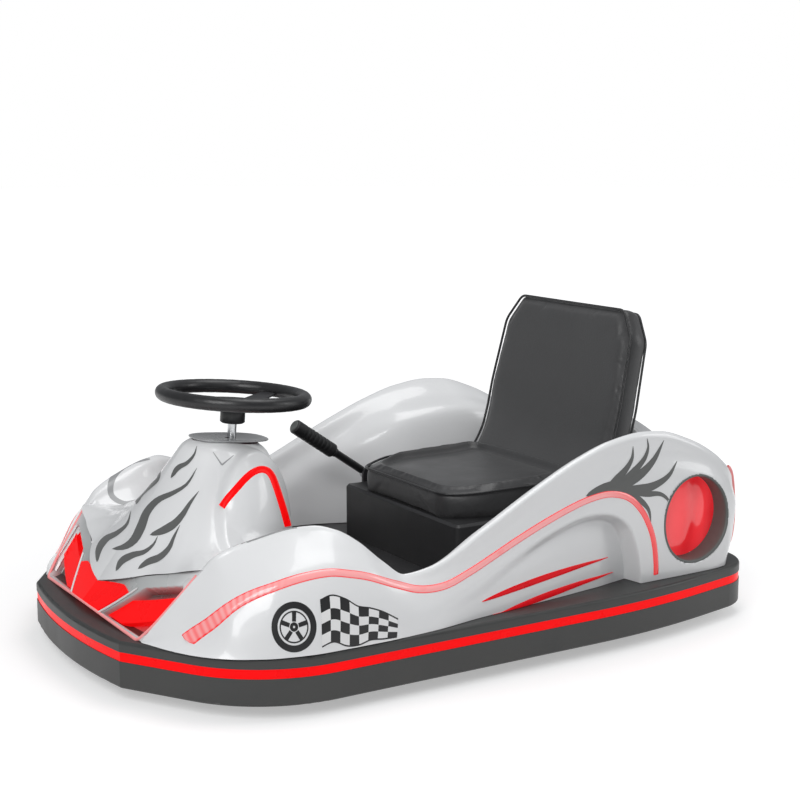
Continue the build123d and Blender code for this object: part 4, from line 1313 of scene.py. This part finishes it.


# %% [markdown]
# The hide is black imitation leather with a fine pebble grain. Two cell patterns of different size make the
# pebbles; only the bump reads them, because the grain has no colour of its own. The faces of the backrest
# that look forward get a lighter grey copy of the hide, which is painted light on its front.

# %% Hide


def hide_material(name, colour, gloss, grain=260.0):
    """Worn black hide: pebbles from two Voronoi patterns, a slow crease noise under them."""
    made = worn(name, colour, gloss, 14, 0.22, dust=0.0)
    height = made.maths("MULTIPLY", made.noise(34.0, 3.0), 0.7)
    for size, weight in ((grain, 0.6), (grain * 2.3, 0.3)):
        cells = made.node("ShaderNodeTexVoronoi", feature="SMOOTH_F1")
        made.put(cells, "Scale", size)
        made.link(made.place(), cells, "Vector")
        height = made.maths("ADD", height, made.maths("MULTIPLY", cells.outputs["Distance"], weight))
    made.bump(height, 0.28, 0.0012)
    made.set("Sheen Weight", 0.12)
    made.set("Specular IOR Level", 0.45)
    return made.material


HIDE = hide_material("seat_hide", (0.030, 0.030, 0.031), 0.40)
# A lighter copy of the hide for the front of the backrest: painted light.
HIDE_FRONT_PAINTED_LIGHT = hide_material("seat_hide_front_painted_light", (0.050, 0.050, 0.051), 0.46)
PIPING = hide_material("seat_piping", (0.010, 0.010, 0.011), 0.34, grain=700.0)

# %% [markdown]
# The cushion is a tray-shaped pad: a firm border with clipped front corners round a sunken middle panel. A
# piping cord is sewn round the border's outer edge and another one round the panel.

# %% Seat cushion
CUSHION_LOW, CUSHION_TOP = 262.5, 327.0
cushion_half = [(-68, 176), (-112, 210), (-168, 236), (-462, 236)]
cushion_outline = rounded(cushion_half + [(x, -y) for x, y in cushion_half[::-1]], 34)
cushion_low = [(0.002, 0), (0.5, 0), (0.955, 0), (0.985, 5), (0.998, 16), (1.0, 34)]
cushion_high = [(0.995, -14), (0.982, -5), (0.955, 0), (0.905, 1), (0.855, -2), (0.825, -10), (0.79, -14),
                (0.72, -12), (0.5, -9), (0.25, -8), (0.002, -7.5)]
cushion_profile = drawn([(share, CUSHION_LOW + rise) for share, rise in cushion_low]
                        + [(share, CUSHION_TOP + rise) for share, rise in cushion_high])


def settle(points):
    """The rear of the cushion rises towards the backrest, its side borders a little above the front."""
    back, out = -points[..., 0], np.abs(points[..., 1])
    rise = 9.0 * soft_step(back, 300, 460) + 7.0 * soft_step(out, 150, 215) * soft_step(back, 90, 200)
    weight = np.clip((points[..., 2] - CUSHION_LOW) / (CUSHION_TOP - CUSHION_LOW), 0, 1)
    moved = points.copy()
    moved[..., 2] += rise * weight
    return moved


cushion = closed_form("seat_cushion_pad", settle(pad_form(cushion_outline, cushion_profile)))
stretched(cushion, cap=7.0)
finished(cushion, HIDE, "body", "seat_hide", "seat_cushion")
for name, share, drop, radius in (("outer", 0.992, 8.0, 3.0), ("inner", 0.822, 7.5, 2.6)):
    loop = settle(pad_form(cushion_outline, [(share, CUSHION_TOP - drop)])[0])
    piping(f"seat_cushion_piping_{name}", loop, radius)

# %% [markdown]
# The backrest leans back by about twelve degrees. It is drawn flat, across and up, and then put on the
# leaning plane. Its foot sweeps forward to meet the cushion, as the one-piece seat shell under the hide does.

# %% Backrest
LEAN = math.radians(12.6)
BACK_FOOT = np.array([-484.0, 0.0, 326.0])
BACK_SIDE = np.array([0.0, 1.0, 0.0])
BACK_UP = np.array([-math.sin(LEAN), 0.0, math.cos(LEAN)])
BACK_OUT = np.array([math.cos(LEAN), 0.0, math.sin(LEAN)])
back_half = [(214, 411), (262, 342), (274, 170), (272, 80), (246, -22)]
back_outline = rounded([(-across, up) for across, up in back_half[::-1]] + back_half, 15)
back_profile = drawn([
    (0.002, -60), (0.5, -60), (0.93, -58), (0.975, -52), (0.994, -40), (1.0, -24), (0.992, -8), (0.975, -2),
    (0.955, 0.0), (0.935, -2.0), (0.90, 1.5), (0.8, 3.5), (0.5, 5.0), (0.002, 6.0),
])


def leaned(points):
    """Flat (across, up, out) points on the leaning plane; below 110 mm the front sweeps forward."""
    across, up, out = points[..., 0], points[..., 1], points[..., 2]
    sweep = 34.0 * np.clip(1 - up / 110, 0, 1.2) ** 2
    out = out + sweep * soft_step(out, -60, 0)
    out = out - 7.0 * (1 - (across / 270) ** 2) * soft_step(up, 60, 200) * soft_step(out, -30, 0)
    return BACK_FOOT + across[..., None] * BACK_SIDE + up[..., None] * BACK_UP + out[..., None] * BACK_OUT


back_pad = closed_form("seat_back_pad", leaned(pad_form(back_outline, back_profile)))
stretched(back_pad, cap=6.0)


def painted_light_front_faces(piece):
    """Lighter copy of the hide on the faces that look forward out of the backrest: painted light on its front.
    """
    piece.data.materials.append(HIDE_FRONT_PAINTED_LIGHT)
    aim = np.empty(len(piece.data.polygons) * 3)
    place = np.empty(len(piece.data.polygons) * 3)
    piece.data.polygons.foreach_get("normal", aim)
    piece.data.polygons.foreach_get("center", place)
    away = (place.reshape(-1, 3) / MM - BACK_FOOT) @ BACK_OUT
    front = (aim.reshape(-1, 3) @ BACK_OUT > 0.2) & (away > -9)
    piece.data.polygons.foreach_set("material_index", front.astype(np.int32))


finished(back_pad, HIDE, "body", "seat_hide", "seat_back")
painted_light_front_faces(back_pad)
for name, share, out, radius in (("front", 0.974, -1.0, 3.2), ("rear", 0.962, -55.5, 3.0)):
    piping(f"seat_back_piping_{name}", leaned(pad_form(back_outline, [(share, out)])[0]), radius)
print("seat pads:", len(cushion.data.polygons), len(back_pad.data.polygons), "faces")

# %% [markdown]
# The drift lever's grip is moulded rubber: a bar with shallow rings for the fingers, a rounded shoulder at
# the rod and a flat plastic cap at the top. It is turned about the lever's own line.

# %% Lever grip
LEVER_FOOT = np.array([-142.0, -288.0, 275.0])
LEVER_LEAN = math.radians(34.7)
LEVER_AIM = np.array([math.cos(LEVER_LEAN), 0.0, math.sin(LEVER_LEAN)])


def turned(name, profile, foot, aim, sides=48):
    """Piece turned about a line: profile rows are (distance along the line, radius), closed at both ends."""
    side = np.cross(aim, [0.0, 1.0, 0.0])
    side /= np.linalg.norm(side)
    other = np.cross(aim, side)
    turn = turns(sides)
    ring = side * np.cos(turn)[:, None] + other * np.sin(turn)[:, None]
    run, radius = np.asarray(profile, float).T
    points = foot + aim * run[:, None, None] + ring * radius[:, None, None]
    return closed_form(name, points)


def metal(name, profile, body, *nodes, sides=48):
    """Black painted piece turned about the line of the lever or the steering axis."""
    foot, aim = (LEVER_FOOT, LEVER_AIM) if body == "drift_lever" else (AXIS_FOOT, AXIS_AIM)
    finished(turned(name, profile, foot, aim, sides), BLACK_METAL, body, "black_metal", *nodes)


grip_run = np.linspace(0, 1, 120)
GRIP_RADIUS, GRIP_RINGS = 18.6, 11
ringed = (grip_run > 0.12) & (grip_run < 0.80)
grip_radius = GRIP_RADIUS - 0.9 * np.clip(np.sin(2 * math.pi * GRIP_RINGS * grip_run), -0.2, 1) * ringed
shoulder = np.sqrt(1 - np.clip((grip_run - 0.06) / 0.06, -1, 0) ** 2)
grip_radius = np.minimum(grip_radius, GRIP_RADIUS * shoulder + 0.01) - 2.4 * soft_step(grip_run, 0.975, 1.0)
grip_profile = np.column_stack([115 + 138 * grip_run, grip_radius]).tolist() + [(253.0, 0.01)]
grip = turned("lever_grip_rubber", grip_profile, LEVER_FOOT, LEVER_AIM)
finished(grip, GRIP, "drift_lever", "grip_rubber", "lever_grip")
tip_profile = [
    (252.0, 0.01), (252.0, 14.5), (254.4, 14.5), (255.4, 13.2), (255.6, 8.0), (255.0, 7.2), (255.0, 0.01),
]
tip = turned("lever_tip", tip_profile, LEVER_FOOT, LEVER_AIM)
finished(tip, RING_GREY, "drift_lever", "ring_grey")

# %% [markdown]
# The steering wheel is a foam rim on three pressed spokes with a shallow dish. A boss below takes the shaft,
# and six button screws round a domed cap hold the dish. All of them turn with the wheel.

# %% Steering wheel fittings
TILT = math.radians(4.5)
AXIS_FOOT = np.array([405.0, 0.0, 90.0])
AXIS_AIM = np.array([-math.sin(TILT), 0.0, math.cos(TILT)])
axis_front = np.array([math.cos(TILT), 0.0, math.sin(TILT)])
axis_side = np.array([0.0, 1.0, 0.0])
RIM_HEIGHT, RIM_REACH, DISH_TOP = 476.0, 159.0, 455.0
rim_turn = turns(180)
rim_spoke = axis_front * np.cos(rim_turn)[:, None] + axis_side * np.sin(rim_turn)[:, None]
rim_line = AXIS_FOOT + AXIS_AIM * RIM_HEIGHT + RIM_REACH * rim_spoke
rim = tube("steering_rim_foam", rim_line, 16.0 - 0.25 * (np.cos(rim_turn * 36) > 0.97), 40, closed=True)
weld(rim, turn=True)
finished(rim, FOAM, "steering", "wheel_foam", "steering_rim")
dish_profile = [
    (446.0, 0.01), (446.0, 26.0), (447.5, 40.0), (454.0, 78.0), (456.5, 86.0), (459.5, 88.0), (461.0, 86.0),
    (459.5, 78.0), (455.0, 50.0), (DISH_TOP + 1, 26.0), (DISH_TOP + 1, 0.01),
]
metal("steering_dish", dish_profile, "steering", sides=96)


def spoke(number):
    """Pressed spoke from the dish to the rim: rounded-rectangle rings that narrow and rise outwards."""
    angle = math.radians(90 + 120 * number)
    radial = axis_front * math.cos(angle) + axis_side * math.sin(angle)
    tangent = np.cross(AXIS_AIM, radial)
    share = np.linspace(0, 1, 24)
    half = (27 - 9 * share) * soft_step(share, -0.05, 0.02) * soft_step(1 - share, -0.05, 0.02)
    turn = turns(32)
    wide = np.sign(np.cos(turn)) * np.abs(np.cos(turn)) ** 0.35
    thick = np.sign(np.sin(turn)) * np.abs(np.sin(turn)) ** 0.6
    middle = AXIS_FOOT + radial * (70 + 78 * share)[:, None] + AXIS_AIM * (456 + 14 * share**0.8)[:, None]
    rings = middle[:, None] + tangent * (half[:, None] * wide)[..., None] + AXIS_AIM * (3.2 * thick)[:, None]
    ends = np.repeat(rings[[0, -1]].mean(1)[:, None], len(turn), axis=1)
    return closed_form(f"steering_spoke_{number}", np.concatenate([ends[:1], rings, ends[1:]]))


for number in range(3):
    stands_for = ("steering_spokes",) if number == 0 else ()
    finished(spoke(number), BLACK_METAL, "steering", "black_metal", *stands_for)
hub_profile = [(414.0, 0.01), (414.0, 24.0), (417.0, 28.0), (447.0, 28.0), (450.0, 26.0), (450.0, 0.01)]
metal("steering_boss", hub_profile, "steering", sides=64)
cap_rows = [(-1, 0.01), (-1, 24.0), (2, 24.0), (5, 22.0), (7.5, 16.0), (8.5, 8.0), (8.8, 0.01)]
cap_profile = [(DISH_TOP + rise, reach) for rise, reach in cap_rows]
finished(turned("steering_cap", cap_profile, AXIS_FOOT, AXIS_AIM, 64), FOAM, "steering", "wheel_foam")
head_rows = [(1, 0.01), (1, 5.5), (4.0, 5.5), (6.0, 4.4), (6.6, 2.6), (5.0, 2.4), (5.0, 0.01)]
head = [(DISH_TOP + rise, reach) for rise, reach in head_rows]
for number in range(6):
    angle = math.radians(60 * number + 30)
    foot = AXIS_FOOT + 42.0 * (axis_front * math.cos(angle) + axis_side * math.sin(angle))
    finished(turned(f"steering_screw_{number}", head, foot, AXIS_AIM, 24), STEEL, "steering", "bright_steel")

# %% [markdown]
# The rod of the lever is a painted tube over a steel core, and the steering column ends under the pylon's
# cap plate, where only the bright shaft comes out.

# %% Lever sleeve and column
sleeve_profile = [
    (15.0, 0.01), (15.0, 9.0), (17.0, 10.0), (108.0, 10.0), (110.0, 11.5), (117.0, 11.5), (117.0, 0.01),
]
metal("lever_sleeve", sleeve_profile, "drift_lever")
column_profile = [
    (114.0, 11.0), (114.0, 25.0), (352.0, 25.0), (352.0, 31.0), (360.0, 31.0), (362.0, 29.0), (362.0, 11.0),
    (114.0, 11.0),
]
metal("column_tube_painted", column_profile, "body", "column_tube", sides=64)

# %% [markdown]
# The stickers are thin vinyl. A sticker is cut flat and then laid over a curved panel, so what matters is how
# it reads from the side it is meant for. Each one is therefore drawn as an outline in the picture and carried
# onto the skin behind it. A texture could hold them too, but real geometry stays sharp at any distance.

# %% Stickers


def sticker(name, edges, skin, material, lift, mirror=False, across=5):
    """Thin sheet between two edge lines of the picture."""
    seen_band(name, edges, skin, material, "box_black", lift, 0.0, mirror, across)


TONGUE_FULL = 0.32


def tongue(path, width):
    """Two edges of a flame: the half width grows fast to its full size and thins out to a point."""
    share = np.linspace(0, 1, 26)
    swell = np.sin(np.minimum(share / TONGUE_FULL, 1) * math.pi / 2) ** 0.6
    thin = ((1 - share) / (1 - TONGUE_FULL)) ** 0.85
    return edges_of(path, width * np.where(share < TONGUE_FULL, swell, thin) + 0.12, 26)


hood_flames = (
    ((97, 562), (99, 549), (106, 539), (117, 533), (127, 524), (131, 511), (3.4)),
    ((112, 549), (124, 547), (134, 540), (141, 527), (147, 512), (158, 500), (173, 493), (187, 484),
     (197, 468), (4.4)),
    ((150, 535), (162, 531), (174, 524), (183, 514), (190, 503), (199, 491), (4.0)),
    ((116, 571), (122, 561), (133, 555), (144, 552), (153, 545), (158, 536), (3.4)),
    ((138, 569), (148, 562), (160, 557), (169, 548), (174, 537), (180, 525), (3.4)),
    ((136, 504), (141, 493), (150, 486), (158, 479), (161, 467), (3.0)),
    ((171, 478), (178, 468), (187, 463), (194, 455), (197, 446), (2.4)),
)
for number, (*path, width) in enumerate(hood_flames):
    sticker(f"hood_flame_{number}", tongue(path, width), HOOD, DECAL_GREY, 0.35 + 0.04 * number)

rear_flames = (
    ((586, 496), (602, 490), (620, 485), (638, 476), (653, 461), (664, 440), (6.4)),
    ((604, 492), (624, 494), (638, 499), (648, 509), (651, 522), (4.6)),
    ((622, 489), (642, 489), (657, 484), (669, 475), (677, 461), (4.6)),
    ((634, 494), (648, 494), (660, 494), (668, 500), (672, 511), (2.8)),
    ((606, 488), (616, 480), (626, 469), (632, 458), (633, 446), (3.6)),
    ((622, 480), (634, 471), (644, 459), (648, 448), (647, 438), (3.0)),
)
for number, (*path, width) in enumerate(rear_flames):
    edges, lift = tongue(path, width), 0.35 + 0.04 * number
    for side, flip in SIDES:
        sticker(f"rear_flame_{number}_{side}", edges, FLANK, DECAL_GREY, lift, flip)

# %% [markdown]
# A shallow groove runs round the top of each front fender, and a small V is pressed into the pylon under the
# cap plate. Both are only a few millimetres deep, so each is drawn as a grey band on the skin: painted shade
# where the cut would be.

# %% Groove and V mark in painted shade
groove_half = 3.0 * np.sin(math.pi * np.linspace(0.02, 0.98, 40)) ** 0.6
groove_path = [(150, 459), (132, 462), (118, 471), (111, 483), (112, 496), (124, 503), (138, 500)]
edges = edges_of(groove_path, groove_half)
for side, flip in (("right", False), ("left", True)):
    seen_band(f"fender_groove_painted_shade_{side}", edges, FAR_FLANK, GROOVE_PAINTED_SHADE, "ring_grey", 0.3, 0.0, flip, 7)
for number, ends in enumerate((((213, 452), (222, 465)), ((234, 455), (222, 465)))):
    edges = edges_of([ends[0], np.mean(ends, axis=0), ends[1]], 0.9 * np.linspace(0.3, 1, 20), 20)
    for side, flip in SIDES:
        seen_band(f"pylon_mark_{number}_{side}", edges, HOOD, GROOVE_PAINTED_SHADE, "ring_grey", 0.3, 0.0, flip)

# %% [markdown]
# On the front fender there is a roundel like a wheel, and a chequered banner flies back from it. The checks
# come from the banner's own UV map, so they shrink with it towards its tail.

# %% Roundel and banner
ROUNDEL, FULL_TURN = np.array([294.0, 627.0]), np.linspace(0, 360, 61)


def circle(radius, degrees=FULL_TURN):
    """Points round the roundel's centre in the picture, a little taller than wide as the flank turns away."""
    turn = np.radians(degrees)
    return ROUNDEL + radius * np.stack([np.cos(turn) * 0.94, np.sin(turn) * 1.06], -1)


def checker_material():
    """Black and white checks: the sign of floor(a u) + floor(b v), odd or even."""
    made = worn("decal_checks", (0.7, 0.7, 0.7), 0.36, 30, 0.04, dust=0.02)
    run = made.run()
    squares = made.maths("ADD", made.maths("FLOOR", made.maths("MULTIPLY", run["X"], 8.0)),
                         made.maths("FLOOR", made.maths("MULTIPLY", run["Y"], 3.9999)))
    odd = made.maths("MODULO", squares, 2.0)
    made.feed(made.blend(odd, (0.012, 0.012, 0.013), (0.74, 0.74, 0.74)), "Base Color")
    return made.material


CHECKS = checker_material()
banner_top = bend([(320, 601), (332, 596), (346, 600), (358, 607), (371, 609), (384, 613), (398, 620)], 60)
banner_low = bend([(322, 646), (334, 641), (347, 645), (359, 644), (371, 639), (384, 638), (397, 636)], 60)
middle = (banner_top + banner_low) / 2
for side, flip in SIDES:
    for name, inner, outer in (("tyre", 17.5, 24.0), ("band", 14.0, 15.4), ("hub", 1.2, 4.4)):
        sticker(f"roundel_{name}_{side}", (circle(inner), circle(outer)), FLANK, DECAL_BLACK, 0.4, flip)
    for number in range(5):
        a = 72 * number - 90
        edges = [evenly(np.vstack([circle(5.5, [a + 22 * way]), circle(14.4, [a + 9 * way])]), 8)
                 for way in (-1, 1)]
        sticker(f"roundel_spoke_{number}_{side}", edges, FLANK, DECAL_BLACK, 0.45, flip)
    border = 1.6 * (banner_top - middle) / np.linalg.norm(banner_top - middle, axis=1)[:, None]
    edges = banner_top + border, banner_low - border
    sticker(f"banner_border_{side}", edges, FLANK, DECAL_BLACK, 0.35, flip)
    sticker(f"banner_checks_{side}", (banner_top, banner_low), FLANK, CHECKS, 0.6, flip, across=17)

# %% [markdown]
# The floor is a wide pale sheet that takes the soft shadow. To the camera and to glossy surfaces it gives off
# a little extra, so that it looks white far from the kart, while the light that it sends back to the kart
# stays plain.
# Close to the kart the extra is smaller, which paints shade round it on top of its real shadow. The world
# behind it is white to the camera in the same way.

# %% Floor and world


def make_floor():
    """Disc of rings about the kart; only its material matters."""
    turn = turns(64)
    reach = np.array([0.01, 1500.0, 5000.0, 30000.0])
    points = np.stack([np.cos(turn)[:, None] * reach, np.sin(turn)[:, None] * reach, np.zeros((64, 4))], -1)
    floor = grid_piece("floor", np.concatenate([points, points[:1]]), flip=True)
    made = Finish("floor_pale", (0.62, 0.62, 0.62), 0.75)
    path = made.node("ShaderNodeLightPath")
    seen = made.maths("MAXIMUM", path.outputs["Is Camera Ray"], path.outputs["Is Glossy Ray"])
    seen = made.maths("MAXIMUM", seen, path.outputs["Is Transmission Ray"])
    reach = made.node("ShaderNodeVectorMath", operation="LENGTH")
    made.link(made.place(), reach, 0)
    share = made.maths("DIVIDE", reach.outputs["Value"], 6.0)
    # Smaller extra close to the kart: painted shade round it, added to its real shadow.
    level = made.ramp(share, (0.10, 0.40), (0.26, 0.62), (0.8, 0.86))
    made.set("Emission Strength", 1.0)
    made.feed(made.blend(seen, (0.0, 0.0, 0.0), level), "Emission Color")
    made.set("Specular IOR Level", 0.1)
    floor.data.materials.append(made.material)


def make_world():
    """White to camera and transmission rays; a plain level of light to the rest."""
    world = bpy.data.worlds.new("studio")
    bpy.context.scene.world = world
    world.use_nodes = True
    world.node_tree.nodes.clear()
    made = Nodes(world.node_tree)
    path, mix = made.node("ShaderNodeLightPath"), made.node("ShaderNodeMixShader")
    seen = made.maths("MAXIMUM", path.outputs["Is Camera Ray"], path.outputs["Is Transmission Ray"])
    made.link(seen, mix, "Fac")
    for socket, colour, level in ((1, (0.95, 0.97, 1.0, 1), WORLD_LEVEL), (2, (1, 1, 1, 1), 1.0)):
        light = made.node("ShaderNodeBackground")
        made.put(light, "Color", colour)
        made.put(light, "Strength", level)
        made.link(light.outputs[0], mix, socket)
    made.link(mix.outputs[0], made.node("ShaderNodeOutputWorld"), "Surface")


def soft_lamp(name, place, aim, width, depth, power):
    """Rectangular lamp that faces its aim."""
    data = bpy.data.lights.new(name, "AREA")
    data.shape, data.size, data.size_y, data.energy = "RECTANGLE", width, depth, power
    lamp = bpy.data.objects.new(name, data)
    lamp.location = place
    lamp.rotation_euler = (Vector(aim) - Vector(place)).to_track_quat("-Z", "Y").to_euler()
    bpy.context.collection.objects.link(lamp)


WORLD_LEVEL = 0.36
make_floor()
make_world()
soft_lamp("key", (2.6, 2.2, 2.6), (0, 0, 0.2), 2.0, 2.0, 78)
soft_lamp("top", (-0.6, 0.2, 3.4), (-0.1, 0, 0), 2.2, 1.8, 42)
soft_lamp("rear", (-2.8, 1.8, 1.6), (-0.3, 0, 0.3), 1.2, 1.6, 18)
bpy.context.scene.view_settings.view_transform = "Standard"
